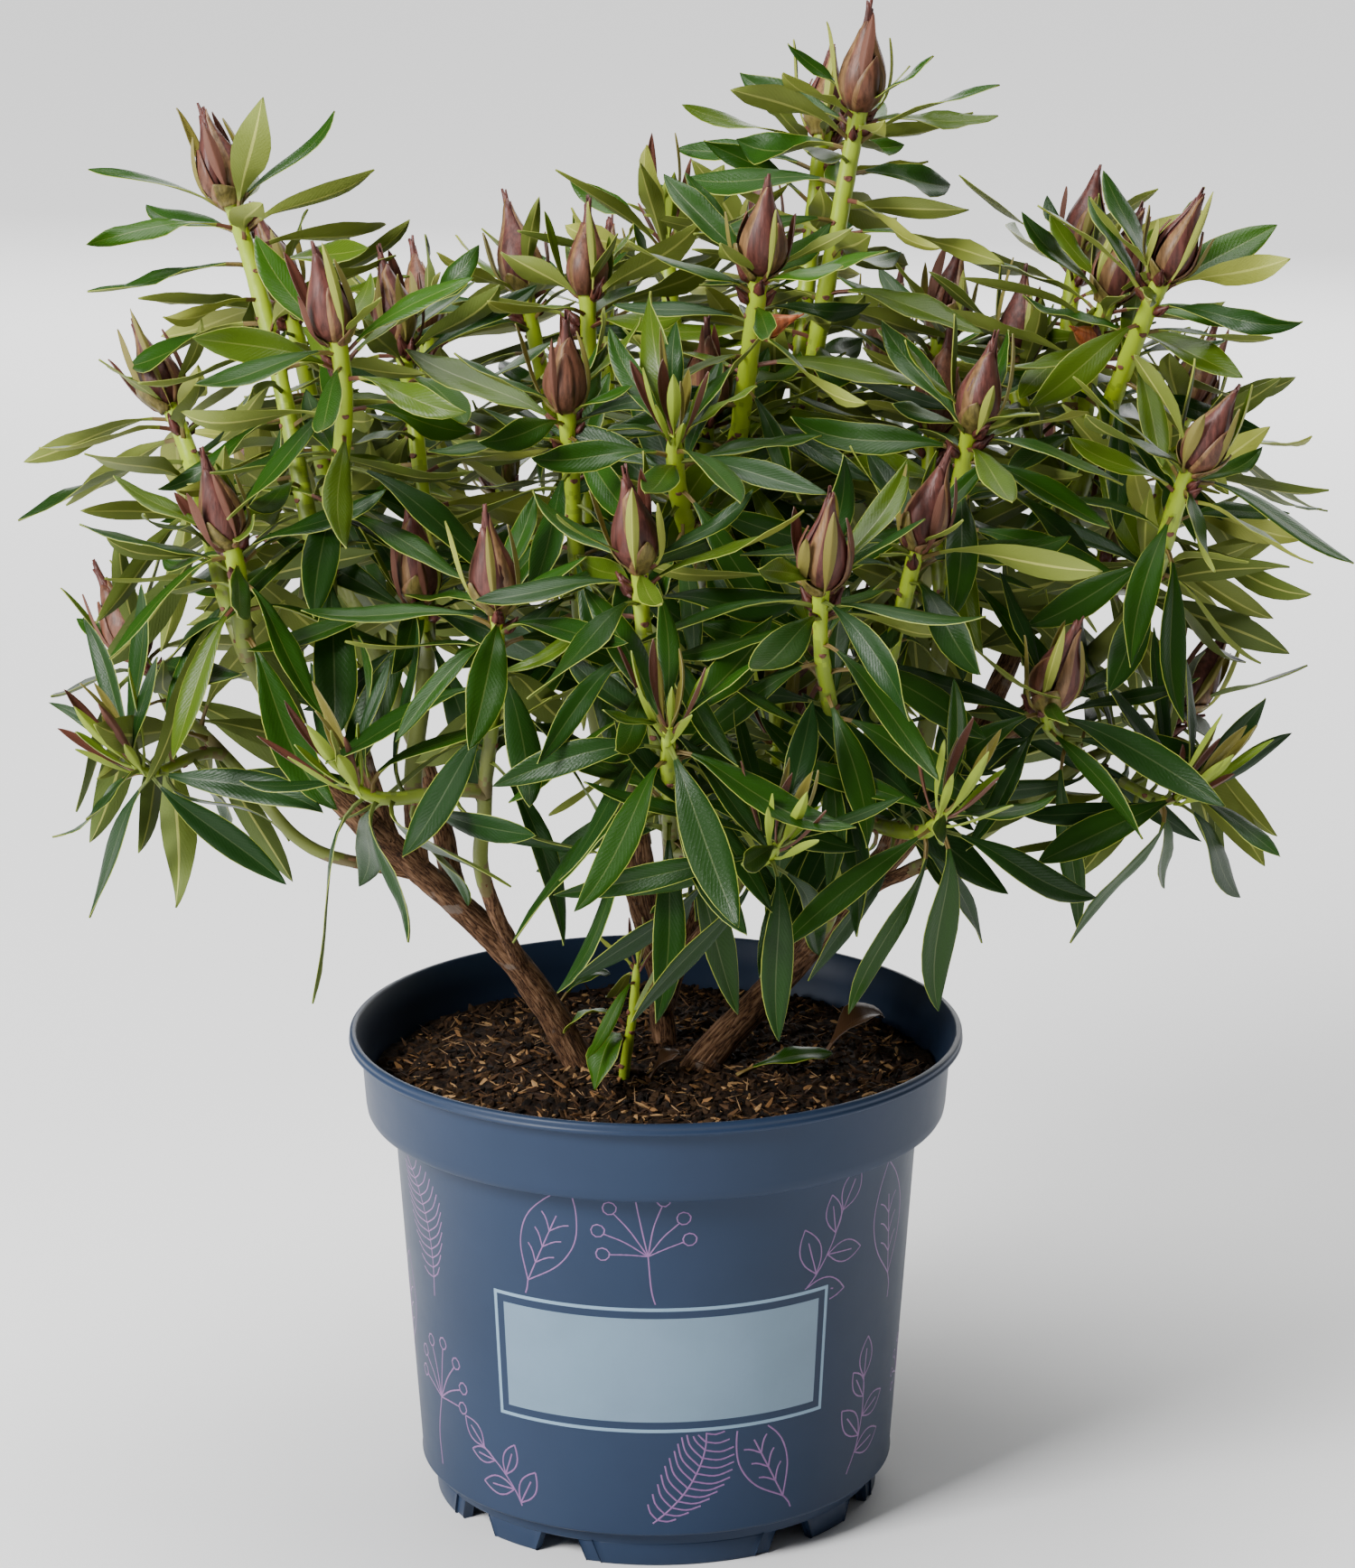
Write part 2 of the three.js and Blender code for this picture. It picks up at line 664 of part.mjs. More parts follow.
/** Whether a leaf stays in its mass's space, off every limb, off the pot and off the soil. */
function fits(leaf, spaces) {
  return leaf.samples().every((point) => {
    const overPot = Math.hypot(point.x, point.y) < POT.rimRadius + CLEAR.pot;
    if (overPot && point.z < POT.height + CLEAR.pot) {
      return false;
    }
    const home = nearest(point, spaces.own);
    return nearest(point, spaces.others) > home + CLEAR.border
      && nearest(point, spaces.neighbours) > CLEAR.own
      && nearest(point, spaces.limbs) > CLEAR.limb;
  });
}

/** Whether a blade runs through one that is already there. */
function crosses(blade, placed) {
  return placed.some((other) => blade.intersect(other).volume() > CLEAR.crossing);
}

/** The blade of a leaf laid the first way that fits: as planned, then turned, lifted or shortened. */
function placedBlade(shoot, plan, spaces, placed) {
  for (let attempt = 0; attempt < LEAF.attempts; attempt += 1) {
    const aside = Math.ceil(attempt / 2) * (attempt % 2 ? 1 : -1);
    const leaf = new Leaf(shoot, {
      ...plan,
      turn: plan.turn + aside * LEAF.aside,
      pitch: plan.pitch - (attempt % 3) * LEAF.lift,
      droop: plan.droop * (1 - (attempt % 4) * LEAF.ease),
      length: plan.length * (1 - attempt * LEAF.shorten),
    });
    const blade = fits(leaf, spaces) ? leaf.solid() : null;
    if (blade && !crosses(blade, placed)) {
      return blade;
    }
  }
  return null;
}

/** A mass: one short stem that divides into shoots, each with its bud and leaves. */
class Mass {
  constructor(name, start, way, root, ends, firstNumber, leafScale) {
    this.name = name;
    this.start = start.clone().addScaledVector(way, GAP);
    this.way = way;
    this.root = root;
    this.hub = this.start.clone().addScaledVector(way, TWIG.stemLength);
    this.shoots = ends.map((end, i) =>
      new Shoot(firstNumber + i, this.hub, way, end, root, leafScale));
  }

  stemSolid() {
    const beyond = this.hub.clone().addScaledVector(this.way, 2);
    const curve = new THREE.LineCurve3(this.start, beyond);
    return limbSolid(curve, 1, TWIG.stemSides, () => this.root);
  }

  capsules() {
    const stem = { from: this.start, to: this.hub, radius: this.root };
    return [stem, ...this.shoots.flatMap((shoot) => shoot.capsules())];
  }

  solid(others, limbs) {
    const pieces = [this.stemSolid()];
    const blades = [];
    for (const shoot of this.shoots) {
      pieces.push(shoot.twig());
      if (shoot.end === BUD) {
        pieces.push(budSolid(shoot));
      }
      const neighbours = this.shoots.flatMap((other) =>
        (other === shoot ? shoot.budCapsules() : other.capsules()));
      const spaces = { own: this.capsules(), neighbours, others, limbs };
      for (const plan of leafPlans(shoot).filter((every, i) => i % LEAF.coarse === 0)) {
        const blade = placedBlade(shoot, plan, spaces, blades);
        if (blade) {
          blades.push(blade);
        }
      }
    }
    return largestPiece(wasm.Manifold.union([...pieces, ...blades]));
  }
}

function makeMasses(boughs) {
  const masses = [];
  let number = 0;
  for (const [name, [bough, ...ends]] of Object.entries(MASSES)) {
    const { curve, tip } = boughs.get(bough);
    masses.push(new Mass(name, curve.getPointAt(1), curve.getTangentAt(1), tip, ends, number));
    number += ends.length;
  }
  return masses;
}

/** A single leafy shoot that rises from the soil, cut flat where it leaves it. */
function makeYoungShoot(number) {
  const foot = vector(YOUNG_SHOOT.foot);
  const way = vector(YOUNG_SHOOT.tip).sub(foot).normalize();
  const ends = [[...YOUNG_SHOOT.tip, TUFT]];
  return new Mass('leaves_young_shoot', foot, way, YOUNG_SHOOT.root, ends, number, YOUNG_SHOOT.leafScale);
}

// ---------------------------------------------------------------- the plant in its pot

const stems = makeStems();
const boughs = makeBoughs(stems);
const masses = makeMasses(boughs);
const shootCount = masses.reduce((sum, mass) => sum + mass.shoots.length, 0);
const youngShoot = makeYoungShoot(shootCount);
const limbCapsules = [...stems.values(), ...boughs.values()].flatMap((limb) => limb.capsules());

const group = new THREE.Group();
group.add(namedMesh('pot', potSolid(), COLOURS.pot, 0.45));
group.add(namedMesh('root_ball', rootBallSolid(), COLOURS.soil, 0.95));
for (const [name, solid] of limbSolids(stems, boughs)) {
  group.add(namedMesh(name, solid, COLOURS.bark, 0.85));
}
const allMasses = [...masses, youngShoot];
for (const mass of allMasses) {
  const others = allMasses.filter((other) => other !== mass).flatMap((other) => other.capsules());
  const solid = mass.solid(others, limbCapsules);
  const aboveSoil = mass === youngShoot ? largestPiece(solid.subtract(underground())) : solid;
  group.add(namedMesh(mass.name, aboveSoil, mass === youngShoot ? COLOURS.young : COLOURS.leaves, 0.5));
}

export default group;
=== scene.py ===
"""A potted rhododendron in bud, dressed around its solid model.

Lengths in the tables are millimetres, and everything that is built is in metres. +Z is up, the front
faces -Y and +X is to the right of the front. The crown grows by the rule that shaped its solids: stems
carry boughs, each bough carries a mass of shoots, and the shoots carry leaves, flower buds and tufts.
"""

import logging
import math
from bisect import bisect_left
from collections.abc import Callable, Sequence
from dataclasses import dataclass, replace
from enum import Enum, IntEnum
from math import cos, radians, sin, tau

import bpy
import numpy as np
from bpy.types import Material, Mesh, NodeSocket, Object
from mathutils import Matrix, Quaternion, Vector
from mathutils.bvhtree import BVHTree


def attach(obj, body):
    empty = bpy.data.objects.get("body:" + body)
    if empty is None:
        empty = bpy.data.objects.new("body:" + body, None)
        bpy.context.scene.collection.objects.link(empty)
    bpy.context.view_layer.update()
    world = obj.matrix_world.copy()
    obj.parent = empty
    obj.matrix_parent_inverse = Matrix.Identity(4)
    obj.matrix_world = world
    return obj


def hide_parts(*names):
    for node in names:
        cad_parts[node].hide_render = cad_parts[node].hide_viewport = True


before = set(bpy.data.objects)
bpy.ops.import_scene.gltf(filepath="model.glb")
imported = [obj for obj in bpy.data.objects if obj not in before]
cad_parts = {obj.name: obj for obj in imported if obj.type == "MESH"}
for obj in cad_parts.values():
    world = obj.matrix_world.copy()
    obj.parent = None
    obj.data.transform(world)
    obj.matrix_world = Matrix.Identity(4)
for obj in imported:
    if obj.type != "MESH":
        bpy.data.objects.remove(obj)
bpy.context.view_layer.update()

LOG = logging.getLogger("rhododendron")
MM = 0.001
BODY = "root"
VECTOR = "FLOAT_VECTOR"
UP = Vector((0.0, 0.0, 1.0))
GOLDEN = 137.5  # degrees from a leaf round to the next one

Pair = tuple[float, float]
Triple = tuple[float, float, float]
Generator = np.random.Generator
Faces = list[tuple[int, ...]]
Radius = Callable[[float], float]
Inputs = dict[int | str, object]


# ---- the plant's plan

# Each stem: the points its middle passes, from under the soil to its fork, and its end radii.
STEMS = {
    "stem_left": ([(-24, -8, 150), (-29, -10, 171), (-55, -20, 217), (-104, -45, 273)], 5.4, 4.9),
    "stem_right": ([(8, -12, 150), (18, -10, 171), (52, 10, 203), (121, 20, 283)], 5.8, 5.2),
    "stem_centre": ([(3, 16, 150), (3, 15, 171), (2, 15, 183), (3, 16, 197)], 4.7, 4.4),
}

# Each bough: its stem, how far up that stem it starts, a point it passes, its tip, its end radii.
BOUGHS = {
    "left_outer": ("left", 1, (-122, -48, 293), (-140, -56, 330), 4.4, 3.7),
    "left_upright": ("left", 0.93, (-107, -36, 300), (-115, -36, 338), 3.9, 3.5),
    "left_inner": ("left", 0.82, (-88, -30, 287), (-84, -26, 318), 3.5, 3.2),
    "left_low": ("left", 0.8, (-124, -48, 265), (-150, -34, 289), 2.4, 2.2),
    "left_rear": ("left", 0.68, (-85, 12, 277), (-110, 50, 325), 4, 3.5),
    "left_front": ("left", 0.42, (-62, -52, 255), (-60, -84, 290), 2.9, 2.7),
    "centre_left": ("centre", 0.88, (-9, 3, 237), (-22, -10, 305), 3.7, 3.3),
    "centre_front": ("centre", 0.72, (6, -50, 230), (6, -104, 275), 3.4, 3.1),
    "centre_back": ("centre", 0.8, (-6, 58, 240), (-16, 95, 300), 3.8, 3.3),
    "centre_top": ("centre", 1, (8, 22, 250), (18, 22, 320), 4.2, 3.7),
    "centre_right": ("centre", 0.92, (28, 3, 232), (42, -8, 270), 3.1, 2.9),
    "back_low": ("centre", 0.66, (20, 62, 220), (40, 105, 262), 3.2, 2.9),
    "right_top": ("right", 0.42, (56, 32, 275), (52, 34, 352), 4, 3.6),
    "right_front": ("right", 0.34, (62, -34, 232), (68, -66, 272), 3.2, 3),
    "right_inner": ("right", 0.7, (98, 4, 285), (104, -4, 325), 3.8, 3.5),
    "right_low": ("right", 0.6, (116, -14, 258), (146, -24, 284), 2.5, 2.3),
    "right_rear": ("right", 0.84, (112, 58, 288), (112, 92, 322), 4, 3.5),
    "right_upper": ("right", 0.94, (134, 34, 318), (150, 44, 356), 4.3, 3.8),
    "right_outer": ("right", 1, (143, 4, 305), (168, -18, 338), 4.8, 4.1),
}
BOUGH_NAMES = tuple(f"bough_{name}" for name in BOUGHS)


class End(Enum):
    """What a shoot ends in."""

    BUD = "a closed flower bud"
    TUFT = "a tuft of young leaves"


# The shoots of each bough's mass: the foot of the shoot's bud, or the tip of its tuft.
ENDS = {
    "left_outer": [(-149, -70, 384), (-179, 30, 413)],
    "left_upright": [(-153, 10, 492), (-110, -70, 456)],
    "left_inner": [(-84, -50, 359), (-93, 20, 439)],
    "left_low": [(-192, 20, 321), (-186, -60, 300, End.TUFT)],
    "left_rear": [(-139, 70, 447), (-150, 100, 358), (-90, 145, 420), (-125, 140, 380)],
    "left_front": [(-54, -110, 370), (-105, -105, 305, End.TUFT)],
    "centre_left": [(-25, 30, 454), (-31, -60, 429)],
    "centre_front": [(-5, -130, 389), (5, -155, 338, End.TUFT), (42, -150, 296, End.TUFT)],
    "centre_back": [(-50, 110, 442), (-20, 160, 430), (-62, 155, 355)],
    "centre_top": [(37, -40, 474), (4, 90, 466, End.TUFT), (7, -90, 425, End.TUFT), (18, 0, 415)],
    "centre_right": [(53, 0, 301), (44, -60, 310, End.TUFT)],
    "back_low": [(20, 172, 365), (75, 168, 325), (84, 90, 301), (-30, 162, 300, End.TUFT)],
    "right_top": [(74, 30, 522), (63, 90, 506), (40, 145, 450)],
    "right_front": [(57, -130, 382), (92, -80, 385), (100, -125, 300, End.TUFT)],
    "right_inner": [(112, -50, 421), (102, 20, 406), (76, 60, 368)],
    "right_low": [(139, -70, 325), (196, 20, 300), (190, -55, 288, End.TUFT)],
    "right_rear": [(109, 110, 425), (90, 160, 405), (145, 145, 360)],
    "right_upper": [(167, 40, 451), (183, 0, 466), (162, 110, 456), (136, 80, 421)],
    "right_outer": [(190, -50, 406), (198, 60, 403), (171, 60, 352)],
}

# The thin shoot that rises from the compost: its foot, its tip, its radius, and the size of its leaves.
YOUNG_SHOOT = ((-13, -27, 160), (-7, -32, 216), 1.9, 0.5)


def mass_name(bough: str) -> str:
    """The name of the mass of leaves that a bough carries."""
    return "leaves_left_top" if bough == "left_upright" else f"leaves_{bough}"


# ---- small mathematics


def between(low: float, high: float, part: float) -> float:
    """The value a part of the way from low to high."""
    return low + (high - low) * part


def limited(value: float) -> float:
    """The value, kept between 0 and 1."""
    return min(1.0, max(0.0, value))


def chance(shoot: int, leaf: int, purpose: int) -> float:
    """A repeatable number from 0 to 1 for one draw.

    Args:
        shoot: its shoot's number.
        leaf: its leaf's number there.
        purpose: what it is for.

    Returns:
        The number.
    """
    whole = 0xFFFFFFFF
    mixed = 2166136261
    for key in (shoot, leaf, purpose):
        mixed = ((mixed ^ (key + 1)) * 16777619) & whole
        mixed ^= mixed >> 15
    mixed = ((mixed ^ (mixed >> 16)) * 0x85EBCA6B) & whole
    mixed = ((mixed ^ (mixed >> 13)) * 0xC2B2AE35) & whole
    return (mixed ^ (mixed >> 16)) / (whole + 1)


def turned(vector: Vector, axis: Vector, degrees: float) -> Vector:
    """The vector after a turn about an axis."""
    return Quaternion(axis, radians(degrees)) @ vector


def round_about(first: Vector, second: Vector, angle: float) -> Vector:
    """The direction at an angle between two cross directions."""
    return first * cos(angle) + second * sin(angle)


def millimetres(point: Sequence[float]) -> Vector:
    """A point of the tables as a vector in metres."""
    return Vector(point) * MM


class Path:
    """A smooth line through space, read by the part of its length."""

    STEPS = 24  # straight pieces for each stretch between two knots

    def __init__(self, points: Sequence[Vector]) -> None:
        """Keeps the points, which lie close together, and the lengths between them.

        Args:
            points: the points, in order.
        """
        self.points = [Vector(point) for point in points]
        self.lengths = [0.0]
        for before, after in zip(self.points, self.points[1:]):
            self.lengths.append(self.lengths[-1] + (after - before).length)
        self.length = self.lengths[-1]

    @classmethod
    def through(cls, knots: Sequence[Vector]) -> "Path":
        """A line through all the knots, straight on at both ends.

        Args:
            knots: the points that it passes.

        Returns:
            The path.
        """
        ends = [knots[0] * 2 - knots[1], *knots, knots[-1] * 2 - knots[-2]]
        points = []
        for before, start, stop, after in zip(ends, ends[1:], ends[2:], ends[3:]):
            leave, arrive = (stop - before) / 2, (after - start) / 2
            for t in (step / cls.STEPS for step in range(cls.STEPS)):
                first = start * (2 * t**3 - 3 * t**2 + 1) + leave * (t**3 - 2 * t**2 + t)
                points.append(first + stop * (3 * t**2 - 2 * t**3) + arrive * (t**3 - t**2))
        return cls([*points, knots[-1]])

    @classmethod
    def arch(cls, start: Vector, leave: Vector, arrive: Vector, end: Vector) -> "Path":
        """A line with one bend, drawn by its two ends and their two handles.

        Args:
            start: one end.
            leave: the handle of that end.
            arrive: the handle of the other end.
            end: the other end.

        Returns:
            The path.
        """
        points = []
        count = cls.STEPS * 2
        for t in (step / count for step in range(count + 1)):
            u = 1 - t
            points.append(start * u**3 + leave * 3 * u**2 * t + arrive * 3 * u * t**2 + end * t**3)
        return cls(points)

    def at(self, part: float) -> Vector:
        """The point a part of the length from the start.

        Args:
            part: the part, from 0 to 1.

        Returns:
            The point.
        """
        wanted = limited(part) * self.length
        i = bisect_left(self.lengths, wanted, 1, len(self.lengths) - 1)
        span = self.lengths[i] - self.lengths[i - 1]
        rest = (wanted - self.lengths[i - 1]) / span if span else 0.0
        return self.points[i - 1].lerp(self.points[i], rest)

    def way(self, part: float) -> Vector:
        """The direction a part of the length from the start."""
        reach = 0.01
        return (self.at(part + reach) - self.at(part - reach)).normalized()

    def spaced(self, step: float) -> list[Vector]:
        """Points at even distances, about a step apart."""
        count = max(2, round(self.length / step))
        return [self.at(i / count) for i in range(count + 1)]


class Rods:
    """Round straight pieces of the plant, for measuring how near a point comes to them."""

    def __init__(self) -> None:
        """Starts with no pieces."""
        self.rods: list[tuple[Vector, Vector, float]] = []

    def add_path(self, path: Path, radius: Radius, step: float) -> None:
        """Adds a path as straight pieces.

        Args:
            path: the path.
            radius: its radius for a part of its length.
            step: the length of a piece, about.
        """
        points = path.spaced(step)
        count = len(points) - 1
        for i in range(count):
            self.rods.append((points[i], points[i + 1], radius((i + 0.5) / count)))

    def nearest(self, points: np.ndarray) -> float:
        """The smallest distance from any of the points to the surface of any piece.

        Args:
            points: the points, one for each row.

        Returns:
            The distance, below nought inside a piece.
        """
        starts, stops, radii = (np.array(column) for column in zip(*self.rods))
        along = stops - starts
        offset = points[:, None, :] - starts[None, :, :]
        part = (offset * along).sum(-1) / np.maximum((along * along).sum(-1), 1e-9)
        gap = offset - np.clip(part, 0, 1)[..., None] * along
        return float((np.linalg.norm(gap, axis=-1) - radii).min())


# ---- node trees


class Value:
    """A value inside a node tree, with the arithmetic that its nodes do."""

    def __init__(self, tree: "NodeTree", socket: NodeSocket) -> None:
        """Keeps the tree and the socket that gives the value."""
        self.tree, self.socket = tree, socket
        self.is_vector = socket.type in {"VECTOR", "RGBA"}

    def _with(self, operation: str, *pair: object) -> "Value":
        """Joins two values, of which this is one, by a mathematical node."""
        vectors = [isinstance(item, Value) and item.is_vector for item in pair]
        if operation == "MULTIPLY" and vectors[0] != vectors[1]:
            return self.tree.vector("SCALE", *(pair if vectors[0] else pair[::-1]))
        return (self.tree.vector if any(vectors) else self.tree.math)(operation, *pair)

    def __add__(self, other: "Value | float") -> "Value":
        """The sum."""
        return self._with("ADD", self, other)

    def __sub__(self, other: "Value | float") -> "Value":
        """The difference."""
        return self._with("SUBTRACT", self, other)

    def __rsub__(self, other: "Value | float") -> "Value":
        """The difference, with this value taken away."""
        return self._with("SUBTRACT", other, self)

    def __mul__(self, other: "Value | float") -> "Value":
        """The product, or a scaled vector."""
        return self._with("MULTIPLY", self, other)

    def cross(self, other: "Value") -> "Value":
        """The cross product."""
        return self.tree.vector("CROSS_PRODUCT", self, other)

    def to(self, operation: str) -> "Value":
        """What an operation on this value alone gives."""
        return self._with(operation, self)

    def split(self) -> "list[Value]":
        """The three coordinates."""
        node = self.tree.add("ShaderNodeSeparateXYZ", {0: self})
        return [Value(self.tree, socket) for socket in node.outputs]


def open_socket(sockets: Sequence[NodeSocket], key: int | str) -> NodeSocket:
    """One of a node's sockets that are in use, by its number or its name."""
    found = [socket for socket in sockets if socket.enabled]
    return found[key] if isinstance(key, int) else next(s for s in found if s.name == key)


class NodeTree:
    """A tree of nodes that is filled by short calls."""

    def __init__(self, tree: bpy.types.NodeTree) -> None:
        """Keeps the tree to fill."""
        self.tree = tree

    def fill(self, socket: NodeSocket, value: object) -> None:
        """Links or sets a socket."""
        if isinstance(value, Value):
            self.tree.links.new(value.socket, socket)
        else:
            socket.default_value = value

    def add(self, kind: str, inputs: Inputs | None = None, **settings: object) -> bpy.types.Node:
        """Adds a node.

        Args:
            kind: the node's type.
            inputs: what each of its open sockets gets, by name or by number.
            **settings: its properties.

        Returns:
            The new node.
        """
        node = self.tree.nodes.new(kind)
        for name, value in settings.items():
            setattr(node, name, value)
        for key, value in (inputs or {}).items():
            self.fill(open_socket(node.inputs, key), value)
        return node

    def get(
        self, kind: str, inputs: Inputs | None = None, output: int | str = 0, **settings: object
    ) -> Value:
        """Adds a node and gives one of its results, by name or by number."""
        return Value(self, open_socket(self.add(kind, inputs, **settings).outputs, output))

    def math(self, operation: str, *values: object) -> Value:
        """The result of a mathematical node."""
        return self.get("ShaderNodeMath", dict(enumerate(values)), operation=operation)

    def vector(self, operation: str, *values: object) -> Value:
        """The result of a vector node."""
        return self.get("ShaderNodeVectorMath", dict(enumerate(values)), operation=operation)

    def xyz(self, *values: object) -> Value:
        """A vector from its three coordinates."""
        return self.get("ShaderNodeCombineXYZ", dict(enumerate(values)))

    def noise(self, place: Value, scale: float, detail: float = 3.0, roughness: float = 0.5) -> Value:
        """Smooth noise at a place, from about 0 to 1."""
        inputs = {"Vector": place, "Scale": scale, "Detail": detail, "Roughness": roughness}
        return self.get("ShaderNodeTexNoise", inputs)


class GeometryTree(NodeTree):
    """A geometry node tree: named inputs, a chain of steps, and one result."""

    def __init__(self, name: str) -> None:
        """Starts a tree that takes a geometry and gives one."""
        super().__init__(bpy.data.node_groups.new(name, "GeometryNodeTree"))
        for way in ("INPUT", "OUTPUT"):
            self.tree.interface.new_socket("Geometry", in_out=way, socket_type="NodeSocketGeometry")
        self.enter = self.tree.nodes.new("NodeGroupInput")
        self.leave = self.tree.nodes.new("NodeGroupOutput")
        self.given: dict[str, object] = {}
        self.flow = Value(self, self.enter.outputs[0])

    def given_input(self, name: str, kind: str, value: object) -> Value:
        """Adds a named input and remembers what it is set to.

        Args:
            name: the input's name.
            kind: the last word of its socket type, such as Float or Object.
            value: what the modifier sets it to.

        Returns:
            The input's value inside the tree.
        """
        self.tree.interface.new_socket(name, in_out="INPUT", socket_type=f"NodeSocket{kind}")
        self.given[name] = value
        return Value(self, open_socket(self.enter.outputs, name))

    def lent(self, name: str, lender: Object) -> Value:
        """The shape of an object that is a named input."""
        source = self.given_input(name, "Object", lender)
        return self.get("GeometryNodeObjectInfo", {"Object": source}, "Geometry")

    def then(self, kind: str, inputs: Inputs | None = None, **settings: object) -> None:
        """Adds a step through which the geometry flows."""
        self.flow = self.get(kind, {0: self.flow, **(inputs or {})}, **settings)

    def move(self, **inputs: Value) -> None:
        """Moves the geometry's points to a Position, or by an Offset."""
        self.then("GeometryNodeSetPosition", inputs)

    def place(self) -> Value:
        """The place of each point."""
        return self.get("GeometryNodeInputPosition")

    def named(self, name: str, kind: str = "FLOAT") -> Value:
        """An attribute of the geometry."""
        return self.get("GeometryNodeInputNamedAttribute", {"Name": name}, data_type=kind)

    def store(self, name: str, value: Value, kind: str = "FLOAT") -> None:
        """Writes a value to an attribute of each point."""
        inputs = {"Name": name, "Value": value}
        self.then("GeometryNodeStoreNamedAttribute", inputs, data_type=kind, domain="POINT")

    def random(self, low: object, high: object, seed: int, kind: str = "FLOAT") -> Value:
        """A random number for each element."""
        inputs = {"Min": low, "Max": high, "Seed": seed}
        return self.get("FunctionNodeRandomValue", inputs, data_type=kind)

    def above(self, value: Value | float, least: Value | float) -> Value:
        """Whether a value is above a limit."""
        return self.get("FunctionNodeCompare", {"A": value, "B": least}, operation="GREATER_THAN")

    def equals(self, name: str, number: int) -> Value:
        """Whether a whole-number attribute has a value."""
        inputs = {"A": self.named(name, "INT"), "B": number}
        return self.get("FunctionNodeCompare", inputs, data_type="INT", operation="EQUAL")

    def both(self, one: Value, other: Value) -> Value:
        """Whether two tests are both met."""
        return self.get("FunctionNodeBooleanMath", {0: one, 1: other}, operation="AND")

    def dress(self, coats: Sequence[tuple[Material, Value | None]]) -> None:
        """Realizes the instances and gives each part of the geometry its material.

        Args:
            coats: a material and the selection that gets it, or None for the whole.
        """
        self.then("GeometryNodeRealizeInstances")
        for material, chosen in coats:
            inputs = {} if chosen is None else {"Selection": chosen}
            self.then("GeometryNodeSetMaterial", {"Material": material, **inputs})

    def circle(self, sides: object, radius: object) -> Value:
        """A ring of straight pieces."""
        inputs = {"Resolution": sides, "Radius": radius}
        return self.get("GeometryNodeCurvePrimitiveCircle", inputs, mode="RADIUS")

    def sweep(self, sides: int) -> None:
        """Turns lines into round tubes by their attribute thick, and stores the way round as round."""
        self.then("GeometryNodeMeshToCurve")
        lines, self.flow = self.flow, self.circle(self.given_input("Sides", "Int", sides), 1.0)
        self.store("round", self.get("GeometryNodeSplineParameter", output="Factor"))
        ring, self.flow = self.flow, lines
        inputs = {"Profile Curve": ring, "Scale": self.named("thick"), "Fill Caps": True}
        self.then("GeometryNodeCurveToMesh", inputs)

    def flat_shaded(self) -> None:
        """Shades the geometry flat."""
        self.then("GeometryNodeSetShadeSmooth", {"Shade Smooth": False})

    def run(self, name: str, base: Mesh) -> Object:
        """Runs the tree over a base mesh.

        Args:
            name: the name of the finished piece.
            base: the mesh that enters the tree. It is removed.

        Returns:
            The result as an object with a plain mesh, at the origin.
        """
        self.tree.links.new(self.flow.socket, self.leave.inputs[0])
        holder = placed(name + "_base", base)
        modifier = holder.modifiers.new("grow", "NODES")
        modifier.node_group = self.tree
        for item in self.tree.interface.items_tree:
            if item.in_out == "INPUT" and item.name in self.given:
                modifier[item.identifier] = self.given[item.name]
        mesh = evaluated_mesh(holder)
        bpy.data.objects.remove(holder)
        bpy.data.meshes.remove(base)
        bpy.data.node_groups.remove(self.tree)
        return placed(name, mesh)


# ---- meshes and pieces


def evaluated_mesh(piece: Object, layers: bool = True) -> Mesh:
    """A plain mesh of a piece after its modifiers, with all the layers that it carries."""
    view = bpy.context.evaluated_depsgraph_get()
    result = piece.evaluated_get(view)
    return bpy.data.meshes.new_from_object(result, preserve_all_data_layers=layers, depsgraph=view)


def placed(name: str, data: bpy.types.ID) -> Object:
    """An object at the origin that shows a mesh, a lamp or a camera."""
    data.name = name
    piece = bpy.data.objects.new(name, data)
    bpy.context.scene.collection.objects.link(piece)
    return piece


def mesh_of(name: str, points: Sequence, faces: Sequence = (), edges: Sequence = ()) -> Mesh:
    """A smooth-shaded mesh from its points and its faces or edges."""
    mesh = bpy.data.meshes.new(name)
    mesh.from_pydata([tuple(point) for point in points], list(edges), list(faces), shade_flat=False)
    return mesh


def write(mesh: Mesh, name: str, kind: str, values: Sequence, domain: str = "POINT") -> None:
    """Writes one value for each element of a mesh to an attribute.

    Args:
        mesh: the mesh.
        name: the attribute's name.
        kind: FLOAT, INT, BOOLEAN or FLOAT_VECTOR.
        values: the values, in the order of the elements.
        domain: what has the values: POINT, EDGE or FACE.
    """
    number = {"INT": np.int32, "BOOLEAN": np.bool_}.get(kind, np.float32)
    key = "vector" if kind == VECTOR else "value"
    flat = np.array(values, dtype=number).ravel()
    mesh.attributes.new(name, kind, domain).data.foreach_set(key, flat)


def tube_faces(rings: int, sides: int) -> Faces:
    """The faces of a closed tube whose points come ring by ring, with its two ends.

    Args:
        rings: how many rings.
        sides: how many points a ring has.

    Returns:
        The faces.
    """
    faces: Faces = []
    for ring in range(rings - 1):
        for side in range(sides):
            after = (side + 1) % sides
            a, b = ring * sides, (ring + 1) * sides
            faces.append((a + side, a + after, b + after, b + side))
    last = (rings - 1) * sides
    return [*faces, tuple(reversed(range(sides))), tuple(range(last, last + sides))]


